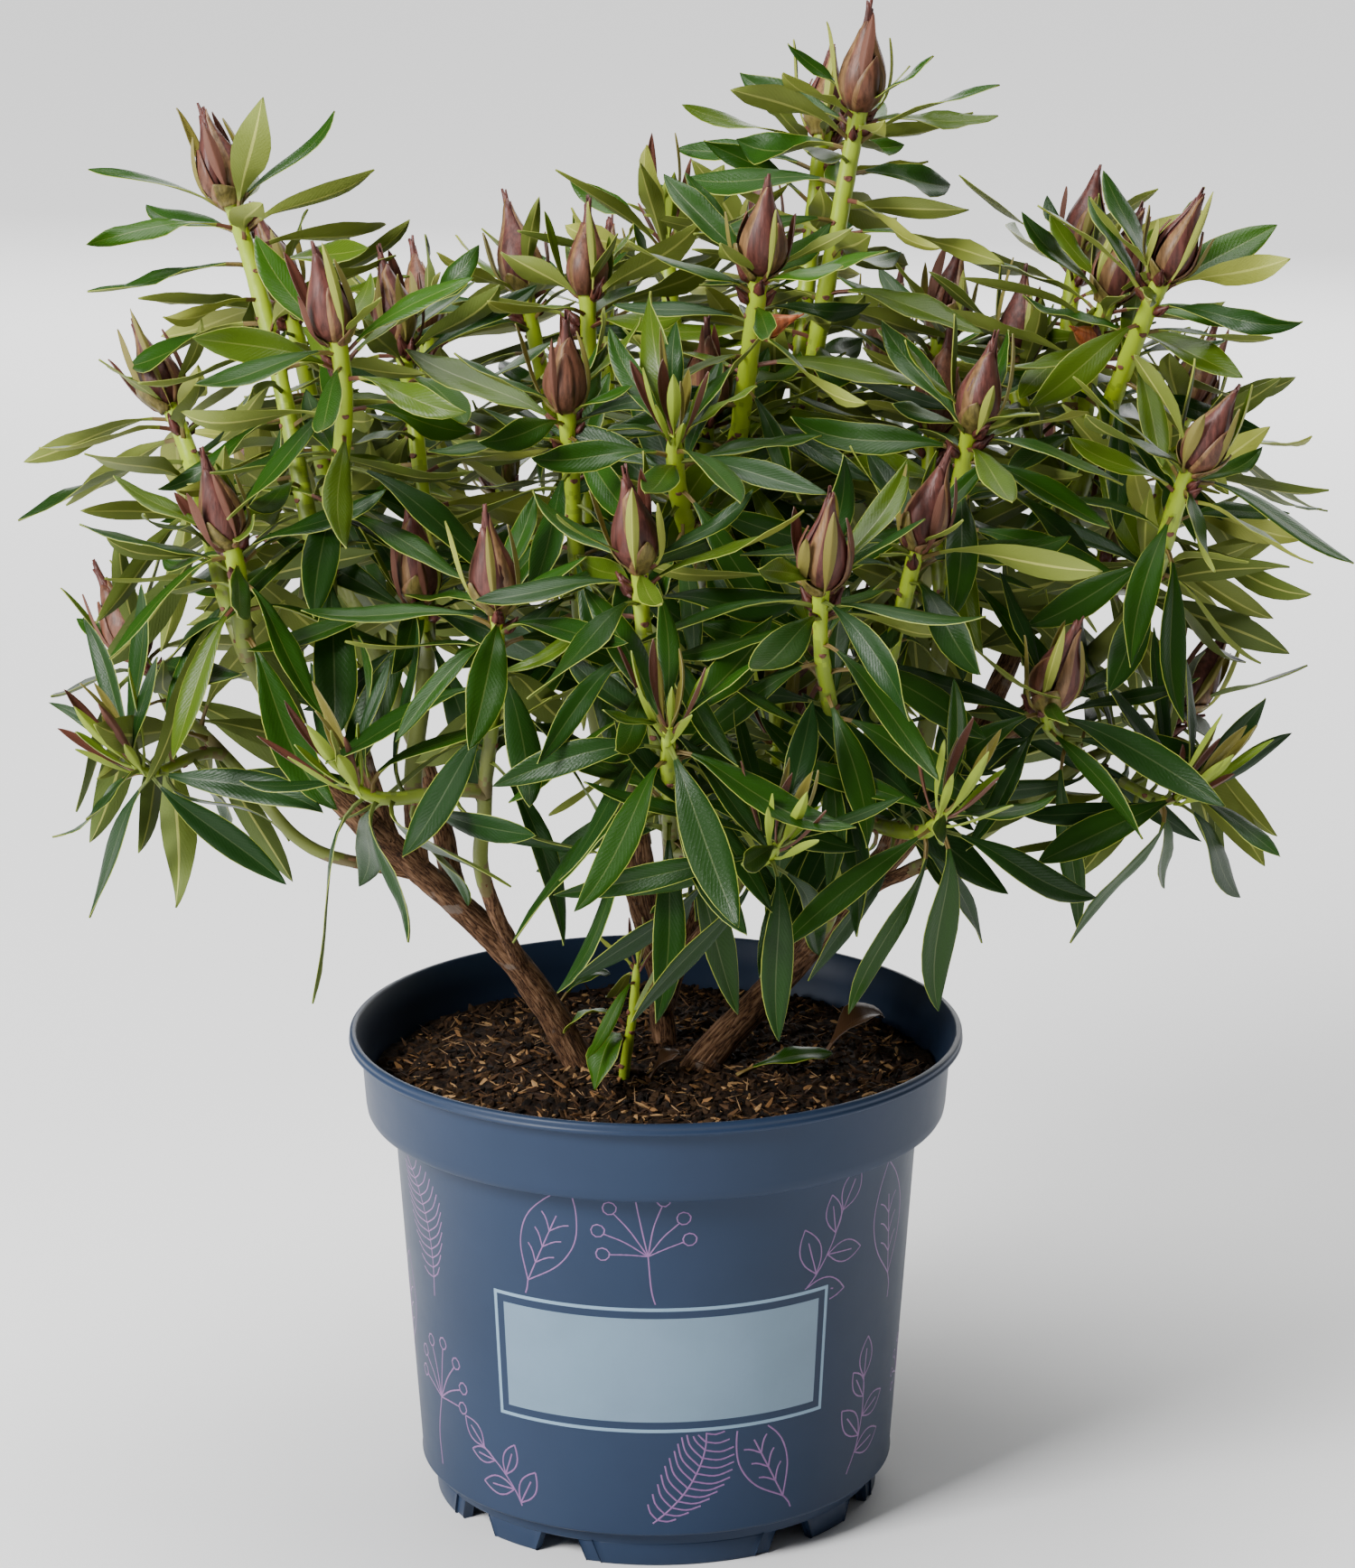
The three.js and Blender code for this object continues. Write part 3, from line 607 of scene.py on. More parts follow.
def dome_faces(rings: int, sides: int) -> Faces:
    """The faces of a closed shape round its first two points, which are the poles of its rings.

    Args:
        rings: how many rings.
        sides: how many points a ring has.

    Returns:
        The faces.
    """
    faces: Faces = []
    last = 2 + (rings - 1) * sides
    for side in range(sides):
        after = (side + 1) % sides
        faces += [(0, 2 + side, 2 + after), (1, last + after, last + side)]
        for a in range(2, last, sides):
            faces.append((a + side, a + sides + side, a + sides + after, a + after))
    return faces


class MeshParts:
    """Points and faces that are gathered part by part, each face with its zone."""

    def __init__(self) -> None:
        """Starts empty."""
        self.points: list[Sequence[float]] = []
        self.faces: Faces = []
        self.zones: list[int] = []

    def add(self, points: Sequence, faces: Faces, zone: int = 0) -> None:
        """Adds a part whose faces count its own points from nought."""
        first = len(self.points)
        self.points += points
        self.faces += [tuple(i + first for i in face) for face in faces]
        self.zones += [zone] * len(faces)

    def add_sheet(self, front: Sequence[Sequence], back: Sequence[Sequence], zone: int, edge: int) -> None:
        """Adds a thin closed sheet.

        Args:
            front: rows of points, seen from outside, with columns to the right and rows upwards.
            back: the same rows on the other side of the sheet.
            zone: the zone of its faces.
            edge: the zone of its first column of faces.
        """
        rows, columns = len(front), len(front[0])
        layer = rows * columns
        faces: Faces = []
        for a in range(0, layer - columns, columns):
            b = a + columns
            for c in range(columns - 1):
                faces.append((a + c, a + c + 1, b + c + 1, b + c))
                faces.append((a + c + 1 + layer, a + c + layer, b + c + layer, b + c + 1 + layer))
            faces.append((b, b + layer, a + layer, a))
            a, b = a + columns - 1, b + columns - 1
            faces.append((a, a + layer, b + layer, b))
        for a in range(columns - 1):
            b = a + layer - columns
            faces.append((a + 1, a, a + layer, a + 1 + layer))
            faces.append((b, b + 1, b + 1 + layer, b + layer))
        start = len(self.zones)
        self.add([point for grid in (front, back) for row in grid for point in row], faces, zone)
        for row in range(rows - 1):
            self.zones[start + row * 2 * columns] = edge

    def mesh(self, name: str) -> Mesh:
        """Everything as one mesh, with the attribute zone on its faces."""
        mesh = mesh_of(name, self.points, self.faces)
        write(mesh, "zone", "INT", self.zones, "FACE")
        return mesh


def drop(*objects: Object) -> None:
    """Removes objects that only lent their meshes to node trees."""
    for item in objects:
        mesh = item.data
        bpy.data.objects.remove(item)
        bpy.data.meshes.remove(mesh)


def finished(piece: Object, slot: str, *nodes: str) -> None:
    """Rides a piece on the body, hides the solids that it stands for and reports it.

    Args:
        piece: the finished piece.
        slot: the record's material slot; not used.
        *nodes: the solids that the piece stands for.
    """
    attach(piece, BODY)
    if nodes:
        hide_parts(*nodes)
    triangles = sum(len(face.vertices) - 2 for face in piece.data.polygons)
    LOG.info("%s: %d triangles", piece.name, triangles)


@dataclass
class Copy:
    """One copy of a small shape."""

    foot: Vector
    way: Vector
    spin: float
    size: float
    shape: int = 0


def copies_piece(
    name: str, shapes: Sequence[Object], copies: Sequence[Copy], coats: Sequence[Material]
) -> Object:
    """Places copies of small shapes by a node tree and joins them.

    Args:
        name: the piece's name.
        shapes: the shapes to copy, each standing on its foot.
        copies: the copies.
        coats: the materials by the zone of a face.

    Returns:
        The piece.
    """
    base = mesh_of("feet", [copy.foot for copy in copies])
    turns = [copy.way.to_track_quat("Z", "Y") @ Quaternion(UP, copy.spin) for copy in copies]
    write(base, "turn", VECTOR, [tuple(turn.to_euler()) for turn in turns])
    write(base, "size", "FLOAT", [copy.size for copy in copies])
    write(base, "shape", "INT", [copy.shape for copy in copies])
    tree = GeometryTree(name)
    turn = tree.get("FunctionNodeEulerToRotation", {0: tree.named("turn", VECTOR)})
    joined = tree.add("GeometryNodeJoinGeometry")
    for number, shape in enumerate(shapes):
        chosen, instance = tree.equals("shape", number), tree.lent(f"Shape {number}", shape)
        inputs = {0: tree.flow, "Selection": chosen, "Instance": instance}
        inputs |= {"Rotation": turn, "Scale": tree.named("size")}
        some = tree.get("GeometryNodeInstanceOnPoints", inputs)
        tree.tree.links.new(some.socket, joined.inputs[0])
    tree.flow = Value(tree, joined.outputs[0])
    tree.dress([(coat, tree.equals("zone", zone)) for zone, coat in enumerate(coats)])
    return tree.run(name, base)


def swept_lines(lines: Sequence[tuple[Path, Radius, float, float]]) -> Mesh:
    """Paths as one mesh of edges, with the radius of each point and its place on its path.

    Args:
        lines: for each one its path, its radius for a part of its length, the step, and how fresh it is.

    Returns:
        The mesh, with the attributes thick, part, run (the distance in metres) and fresh.
    """
    points: list[Vector] = []
    edges: Faces = []
    rows: list[tuple[float, ...]] = []
    for path, radius, step, fresh in lines:
        spaced = path.spaced(step)
        count = len(spaced) - 1
        edges += [(len(points) + i, len(points) + i + 1) for i in range(count)]
        points += spaced
        rows += [(radius(i / count), i / count, i / count * path.length, fresh) for i in range(count + 1)]
    mesh = mesh_of("lines", points, edges=edges)
    for name, values in zip(("thick", "part", "run", "fresh"), zip(*rows)):
        write(mesh, name, "FLOAT", values)
    return mesh


# ---- finishes


class Surface(NodeTree):
    """The node tree of a material, around its one shader."""

    def __init__(self, name: str, colour: Triple, roughness: float, gloss: float = 0.5) -> None:
        """Starts a material that is the same all over.

        Args:
            name: its name.
            colour: its colour.
            roughness: its roughness.
            gloss: how strongly it reflects.
        """
        self.material = bpy.data.materials.new(name)
        self.material.use_nodes = True
        super().__init__(self.material.node_tree)
        self.set("Base Color", (*colour, 1.0))
        self.set("Roughness", roughness)
        self.set("Specular IOR Level", gloss)

    def set(self, name: str, value: object) -> None:
        """Sets or links one of the shader's inputs."""
        self.fill(self.tree.nodes["Principled BSDF"].inputs[name], value)

    def place(self) -> Value:
        """The place on the piece, in metres."""
        return self.get("ShaderNodeTexCoord", output="Object")

    def attribute(self, name: str) -> Value:
        """An attribute of the piece that has three numbers."""
        return self.get("ShaderNodeAttribute", output="Vector", attribute_name=name)

    def ramp(self, factor: Value, *stops: tuple[float, Triple]) -> Value:
        """Colours between stops.

        Args:
            factor: the number from 0 to 1 that chooses.
            *stops: each colour after its place from 0 to 1.

        Returns:
            The colour.
        """
        node = self.add("ShaderNodeValToRGB", {0: factor})
        scale = node.color_ramp.elements
        while len(scale) < len(stops):
            scale.new(0.5)
        for element, (place, colour) in zip(scale, stops):
            element.position = place
            element.color = (*colour, 1.0)
        return Value(self, node.outputs["Color"])

    def shade(self, factor: Value, *stops: tuple[float, Triple]) -> None:
        """Colours the skin between stops."""
        self.set("Base Color", self.ramp(factor, *stops))

    def relief(self, height: Value, strength: float, distance: float) -> None:
        """Bumps from a height.

        Args:
            height: from about 0 to 1.
            strength: how strong they are.
            distance: their depth in metres.
        """
        inputs = {"Strength": strength, "Distance": distance, "Height": height}
        self.set("Normal", self.get("ShaderNodeBump", inputs))


@dataclass(frozen=True)
class Finish:
    """A finish: one plain colour, and what its own kind adds to it."""

    name: str
    colour: Triple
    roughness: float = 0.4
    gloss: float = 0.5

    def build(self) -> Material:
        """Builds the material."""
        surface = Surface(self.name, self.colour, self.roughness, self.gloss)
        self.work(surface, surface.place())
        return surface.material

    def work(self, surface: Surface, place: Value) -> None:
        """Adds what the kind has, which is nothing on a plain one."""

    def lighter(self, more: float) -> Triple:
        """The colour made lighter by a part of itself, or darker."""
        return tuple(part * (1 + more) for part in self.colour)


@dataclass(frozen=True)
class Plastic(Finish):
    """Satin moulded plastic, faintly mottled, with the grain of its mould."""

    mottle: float = 0.08
    grain: float = 900.0

    def work(self, surface: Surface, place: Value) -> None:
        """Adds clouds, scuffs and grain.

        Args:
            surface: the material's nodes.
            place: the place on the piece.
        """
        stops = (0.3, self.lighter(-self.mottle)), (0.7, self.lighter(self.mottle))
        surface.shade(surface.noise(place, 14.0, 4.0, 0.6), *stops)
        scuffs = surface.noise(place, 60.0, 5.0, 0.7)
        inputs = {"Value": scuffs, 3: self.roughness - 0.06, 4: self.roughness + 0.08}
        surface.set("Roughness", surface.get("ShaderNodeMapRange", inputs))
        surface.relief(surface.noise(place, self.grain, 2.0), 0.12, 0.0001)


class Ink(Finish):
    """A thin printed film that lies on plastic."""

    def work(self, surface: Surface, place: Value) -> None:
        """Adds thin patches."""
        stops = (0.35, tuple(part * 0.93 for part in self.colour)), (0.6, self.colour)
        surface.shade(surface.noise(place, 40.0, 4.0, 0.6), *stops)


@dataclass(frozen=True)
class Bark(Finish):
    """Brown bark that splits lengthwise into flakes, with worn grey patches."""

    crack: Triple = (0.012, 0.006, 0.004)
    flake: Triple = (0.26, 0.145, 0.078)
    worn: Triple = (0.2, 0.155, 0.125)

    def work(self, surface: Surface, place: Value) -> None:
        """Adds cracks and flakes, which follow the grain of each limb, and worn patches.

        Args:
            surface: the material's nodes.
            place: the place on the piece.
        """
        grain = surface.attribute("grain")
        ridge = (surface.noise(grain, 1.0, 6.0, 0.6) - 0.5).to("ABSOLUTE")
        fibre = surface.noise(grain, 3.2, 4.0, 0.6)
        stops = ((0.0, self.crack), (0.035, self.colour), (0.16, self.flake))
        bark = surface.ramp(ridge + (fibre - 0.5) * 0.06, *stops)
        patches = surface.noise(place, 95.0, 3.0, 0.55)
        share = surface.get("ShaderNodeMapRange", {"Value": patches, 1: 0.62, 2: 0.68, 4: 0.7})
        inputs = {"Factor": share, "A": bark, "B": (*self.worn, 1.0)}
        surface.set("Base Color", surface.get("ShaderNodeMix", inputs, data_type="RGBA"))
        surface.relief(ridge * 5.0 + fibre * 0.7, 1.0, 0.0005)


@dataclass(frozen=True)
class Compost(Finish):
    """Moist bark compost, almost black in its hollows: dark in its own colour, and painted darker still there
    as shade where its relief is low.
    """

    crumb: Triple = (0.045, 0.024, 0.012)

    def work(self, surface: Surface, place: Value) -> None:
        """Adds crumbs, lighter where the relief stands up, with painted shade in the hollows between them."""
        crumbs = surface.noise(place, 420.0, 6.0, 0.7)
        # painted shade: the colour follows the relief's height, so the low hollows get the near-black colour
        # and the raised crumbs the lighter crumb colour
        surface.shade(crumbs, (0.4, self.colour), (0.68, self.crumb))
        surface.relief(crumbs, 1.0, 0.0015)


@dataclass(frozen=True)
class Living(Finish):
    """A shoot, a bud scale or a chip: one plain colour and a skin with fine upright relief."""

    relief: float = 0.25
    pores: float = 1400.0
    upright: float = 1.0  # how much the relief and the streaks are drawn out upwards
    streaks: float = 0.0  # how much darker and lighter the colour gets in streaks

    def work(self, surface: Surface, place: Value) -> None:
        """Adds streaks and relief.

        Args:
            surface: the material's nodes.
            place: the place on the piece.
        """
        x, y, z = place.split()
        place = surface.xyz(x, y, z * (1 / self.upright))
        if self.streaks:
            stops = (0.36, self.lighter(-self.streaks)), (0.62, self.lighter(self.streaks))
            surface.shade(surface.noise(place, self.pores * 0.6, 4.0, 0.65), *stops)
        surface.relief(surface.noise(place, self.pores, 3.0, 0.6), self.relief, 0.0002)


class Leathery(Finish):
    """The skin of a leaf: one plain colour, gloss, sunken side veins and a fine net between them."""

    def work(self, surface: Surface, place: Value) -> None:
        """Adds the veins, which follow the blade's own places, and the net.

        Args:
            surface: the material's nodes.
            place: the place on the piece.
        """
        across, along, _ = surface.attribute("vein").split()
        wave = ((along * 15.0 - across.to("ABSOLUTE") * 2.4) * tau).to("COSINE")
        grooves = surface.math("POWER", wave.to("ABSOLUTE"), 0.4)
        net = surface.noise(place, 1100.0, 3.0, 0.6)
        surface.relief(grooves * 0.4 + net, 0.45, 0.00024)


# ---- pot


@dataclass(frozen=True)
class PotSizes:
    """Sizes of the pot in millimetres, as its solid has them."""

    height: float = 182.5
    rim: float = 115.0
    band: float = 110.5
    band_foot: float = 150.5
    band_foot_radius: float = 108.5
    body: float = 98.5
    foot_line: float = 14.5
    foot_line_radius: float = 89.3
    foot: float = 83.5
    foot_wall: float = 3.2
    wall: float = 1.8
    floor: float = 9.0
    floor_thickness: float = 2.2
    pad: float = 24.0


SIZES = PotSizes()


@dataclass
class Pot:
    """A nursery pot: rolled rim, deep band, tapering wall, and a foot ring with gaps."""

    plastic: Plastic = Plastic("pot_plastic", (0.0155, 0.029, 0.062), 0.42, 0.22)
    around: int = 216
    first_gap: float = 37.0  # bearing of the first gap's middle, in degrees from the front
    gap: float = 12.0
    feet: Pair = (16.0, 50.0)
    pairs: int = 4
    gap_height: float = 8.3
    gap_slope: float = 1.5
    panel_inset: float = 4.0  # degrees between a foot's end and its panel

    def outline(self) -> list[Pair]:
        """Radius and height round the section, from the floor's middle inside to its middle below."""
        s, gap = SIZES, self.gap_height
        floor = s.floor + s.floor_thickness
        # Each stretch: the radius and the height that its spots are measured from, and the spots.
        stretches = (
            (0, floor, (0, 0)),
            (s.foot - s.wall, floor, (-3, 0), (0, 1.5)),
            (s.foot_line_radius - s.wall, floor, (-0.6, 6)),
            (s.body - s.wall, s.band_foot, (0, -3), (1.2, -0.6)),
            (s.band_foot_radius - s.wall, s.band_foot, (-1.2, 1.2), (0, 3)),
            (s.band - s.wall, s.height, (0, -11), (0.6, -7.5), (2.0, -3.6)),
            (s.rim, s.height, (-3, -1), (-2.5, -0.25), (-1.9, 0), (-0.9, -0.2), (-0.3, -0.8)),
            (s.rim, s.height, (-0.15, -1.5), (-0.45, -2.1), (-0.45, -2.6), (0, -3.1), (0, -3.8)),
            (s.rim, s.height, (-0.5, -4.3), (-1.6, -4.5)),
            (s.band, s.height, (1, -4.8), (0, -5.9)),
            (s.band_foot_radius, s.band_foot, (0.45, 5), (0, 2.2), (-0.9, 0.6), (-2.4, 0)),
            (s.body, s.band_foot, (2.6, 0), (0.7, -0.6), (-0.1, -2.4)),
            (s.foot_line_radius, s.foot_line, (0.15, 1.6), (0.45, 0.9), (0.35, 0.1), (-0.6, -0.5)),
            (s.foot, s.foot_line, (2.2, -0.8), (1.4, -1.6)),
            (s.foot, gap, (1, 0.4), (0.4, 0), (-s.foot_wall, 0)),
            (s.foot - s.foot_wall, s.floor, (-0.8, 0)),
            (s.pad, s.floor, (2, 0)),
            (s.pad, 0, (0, 0.6), (-0.6, 0)),
            (0, 0, (0, 0)),
        )
        return [(radius + r, height + z) for radius, height, *spots in stretches for r, z in spots]

    def shell(self) -> Mesh:
        """The pot without its feet, turned about its axis."""
        first, *inner, last = self.outline()
        rows, sides = len(inner), range(self.around)
        turns = [tau * step / self.around for step in sides]
        points = [(r * MM * cos(a), r * MM * sin(a), z * MM) for a in turns for r, z in inner]
        faces: Faces = []
        for step in sides:
            here, there = step * rows, (step + 1) % self.around * rows
            faces += [(there + i, there + i + 1, here + i + 1, here + i) for i in range(rows - 1)]
        for height, row in ((first[1], 0), (last[1], rows - 1)):
            points.append((0.0, 0.0, height * MM))
            ring = [step * rows + row for step in sides]
            for a, b in zip(ring, ring[1:] + ring[:1]):
                faces.append((len(points) - 1, *((b, a) if row else (a, b))))
        return mesh_of("pot", points, faces)

    def foot(self, start: float, stop: float, outer: float, inner: float) -> tuple[list[Triple], Faces]:
        """One foot or its panel: a block bent round the pot's axis, narrower at the ground.

        Args:
            start: bearing of one end, in degrees.
            stop: bearing of the other end.
            outer: outer radius.
            inner: inner radius.

        Returns:
            Its points in metres and its faces.
        """
        top = self.gap_height + 0.6
        slope = math.degrees(self.gap_slope / outer)
        count = max(2, round((stop - start) / 2))
        points: list[Triple] = []
        for part in (step / count for step in range(count + 1)):
            low = radians(between(start + slope, stop - slope, part))
            high = radians(between(start - slope, stop + slope, part))
            ring = ((low, outer - 0.5, 0.0), (low, outer, 0.6), (high, outer + 0.5, top))
            for angle, radius, height in (*ring, (high, inner, top), (low, inner, 0.0)):
                across, forward = sin(angle) * radius, -cos(angle) * radius
                points.append((across * MM, forward * MM, height * MM))
        faces: Faces = []
        for a in range(0, count * 5, 5):
            b = a + 5
            faces += [(a + i, b + i, b + (i + 1) % 5, a + (i + 1) % 5) for i in range(5)]
        return points, [*faces, (4, 3, 2, 1, 0), tuple(count * 5 + i for i in range(5))]

    def feet_mesh(self) -> Mesh:
        """All the feet, the wide ones with a panel that stands proud."""
        parts = MeshParts()
        bearing, inset = self.first_gap + self.gap / 2, self.panel_inset
        for width in self.feet * self.pairs:
            parts.add(*self.foot(bearing, bearing + width, SIZES.foot, SIZES.foot - SIZES.foot_wall))
            if width > 2 * inset + self.gap:
                ends = bearing + inset, bearing + width - inset
                parts.add(*self.foot(*ends, SIZES.foot + 0.6, SIZES.foot - 1))
            bearing += width + self.gap
        return parts.mesh("pot_feet")

    def build(self) -> None:
        """Builds the pot and its feet."""
        plastic = self.plastic.build()
        pot, feet = placed("pot_shell", self.shell()), placed("pot_feet", self.feet_mesh())
        for piece, width, nodes in ((pot, 0.0006, ["pot"]), (feet, 0.0004, [])):
            piece.data.materials.append(plastic)
            soften(piece, width, 32)
            finished(piece, "pot", *nodes)


def soften(piece: Object, width: float, least_angle: float) -> None:
    """Rounds the sharp edges of a piece that stands on the floor.

    Args:
        piece: the piece.
        width: how wide the rounding is, in metres.
        least_angle: the smallest angle between two faces, in degrees, that is rounded.
    """
    bevel = piece.modifiers.new("rounded", "BEVEL")
    bevel.width = width
    bevel.segments = 2
    bevel.limit_method = "ANGLE"
    bevel.angle_limit = radians(least_angle)
    old, mesh = piece.data, evaluated_mesh(piece, False)
    piece.modifiers.clear()
    piece.data = mesh
    for vertex in mesh.vertices:
        vertex.co.z = max(0.0, vertex.co.z)
    bpy.data.meshes.remove(old)
    mesh.name = piece.name


# ---- print on the pot


class Film(IntEnum):
    """The printed films of the label."""

    FRAME = 0
    PANEL = 1


class Pen:
    """Draws a motif in strokes, from its foot upwards in tenths of its size."""

    def __init__(self, foot: Vector, way: float, scale: float) -> None:
        """Starts at a foot, with a way in degrees and the millimetres in a tenth of the size."""
        self.foot, self.scale = foot, scale
        self.turn = Quaternion(UP, radians(way - 90))
        self.strokes: list[list[Vector]] = []

    def line(self, *spots: Pair) -> None:
        """Draws a smooth stroke through spots, each across and up."""
        knots = [Vector((x, y, 0)) * self.scale for x, y in spots]
        path = Path.through(knots) if len(knots) > 2 else Path(knots)
        self.strokes.append([self.foot + self.turn @ point for point in path.spaced(1.3)])

    def leaf(self, x: float, y: float, way: float, length: float, width: float) -> None:
        """Draws a leaf with a midrib.

        Args:
            x: its foot, across.
            y: its foot, up.
            way: its direction in degrees from upright.
            length: its length.
            width: half its width.
        """
        ahead, aside = sin(radians(way)), cos(radians(way))
        edge = ((0, 0), (0.28, 0.8), (0.55, 1), (0.8, 0.62), (1, 0))
        for side, line in ((1, edge), (-1, edge), (0, ((0, 0), (0.35, 0), (0.7, 0)))):
            spots = []
            for u, v in line:
                along, across = u * length, side * v * width
                spots.append((x + ahead * along + aside * across, y + aside * along - ahead * across))
            self.line(*spots)


def draw_great_leaf(pen: Pen) -> None:
    """One great leaf with side veins on a short stalk.

    Args:
        pen: the pen, at the motif's foot.
    """
    pen.line((0, 0), (0.2, 0.9), (0, 1.8))
    pen.leaf(0, 1.8, 0, 8.2, 1.9)
    for height in (3.4, 4.8, 6.2):
        for side in (1, -1):
            pen.line((0, height), (side * 0.6, height + 0.8), (side * 1.05, height + 1.1))


def draw_sprig(pen: Pen) -> None:
    """A curved stem with five leaves.

    Args:
        pen: the pen, at the motif's foot.
    """
    pen.line((0, 0), (0.5, 2.2), (0.3, 4.6), (-0.5, 7))
    for x, y, way, size in ((0.4, 1.6, 62, 1), (0.5, 2.8, -58, 1), (0.4, 4.2, 55, 0.9), (0, 5.6, -50, 0.8)):
        pen.leaf(x, y, way, 3.4 * size, 0.8 * size)
    pen.leaf(-0.5, 7, -12, 3, 0.8)


def draw_seed_head(pen: Pen) -> None:
    """A stem that carries a fan of rays, each with a round seed.

    Args:
        pen: the pen, at the motif's foot.
    """
    hub, seed = 5.4, 0.45
    pen.line((0, 0), (-0.4, 2.5), (0, hub))
    for angle, reach in ((-75, 2.4), (-48, 3.1), (-22, 3.6), (3, 3.9), (28, 3.6), (54, 3), (80, 2.4)):
        x, y = sin(radians(angle)), cos(radians(angle))
        pen.line((0, hub), (x * reach * 0.5, hub + y * reach * 0.6), (x * reach, hub + y * reach))
        x, y = x * (reach + seed), hub + y * (reach + seed)
        turns = [tau * i / 8 for i in range(9)]
        pen.line(*((x + seed * cos(a), y + seed * sin(a)) for a in turns))


def draw_frond(pen: Pen) -> None:
    """An arched frond with a narrow leaflet at every step.

    Args:
        pen: the pen, at the motif's foot.
    """
    stem = [(0, 0), (0.9, 2.6), (1.2, 5), (0.8, 7.4), (-0.4, 9.6)]
    pen.line(*stem)
    for i in range(2, 15):
        place = i / 16 * 4
        (x0, y0), (x1, y1) = stem[int(place)], stem[int(place) + 1]
        x, y = between(x0, x1, place % 1), between(y0, y1, place % 1)
        reach = 2.3 * sin(math.pi * (i + 1) / 18)
        for side in (1, -1):
            pen.line((x, y), (x + side * reach * 0.6, y + reach * 0.2), (x + side * reach, y + reach * 0.6))


# The motifs on half of the wall, which the other half repeats: the bearing of the foot in degrees, its
# height in millimetres, the lean to the right in degrees, the size in millimetres, and the drawing.
MOTIFS = (
    (-84, 52, 14, 50, draw_great_leaf),
    (-60, 92, -16, 56, draw_frond),
    (-31, 104, 24, 52, draw_great_leaf),
    (3, 97, -14, 56, draw_seed_head),
    (30, 101, 40, 58, draw_sprig),
    (66, 88, -8, 58, draw_great_leaf),
    (-63, 22, 8, 54, draw_seed_head),
    (-32, 14, -34, 46, draw_sprig),
    (-3, 16, 30, 54, draw_frond),
    (34, 17, -28, 50, draw_great_leaf),
    (52, 24, 16, 54, draw_sprig),
    (88, 26, -20, 40, draw_seed_head),
)


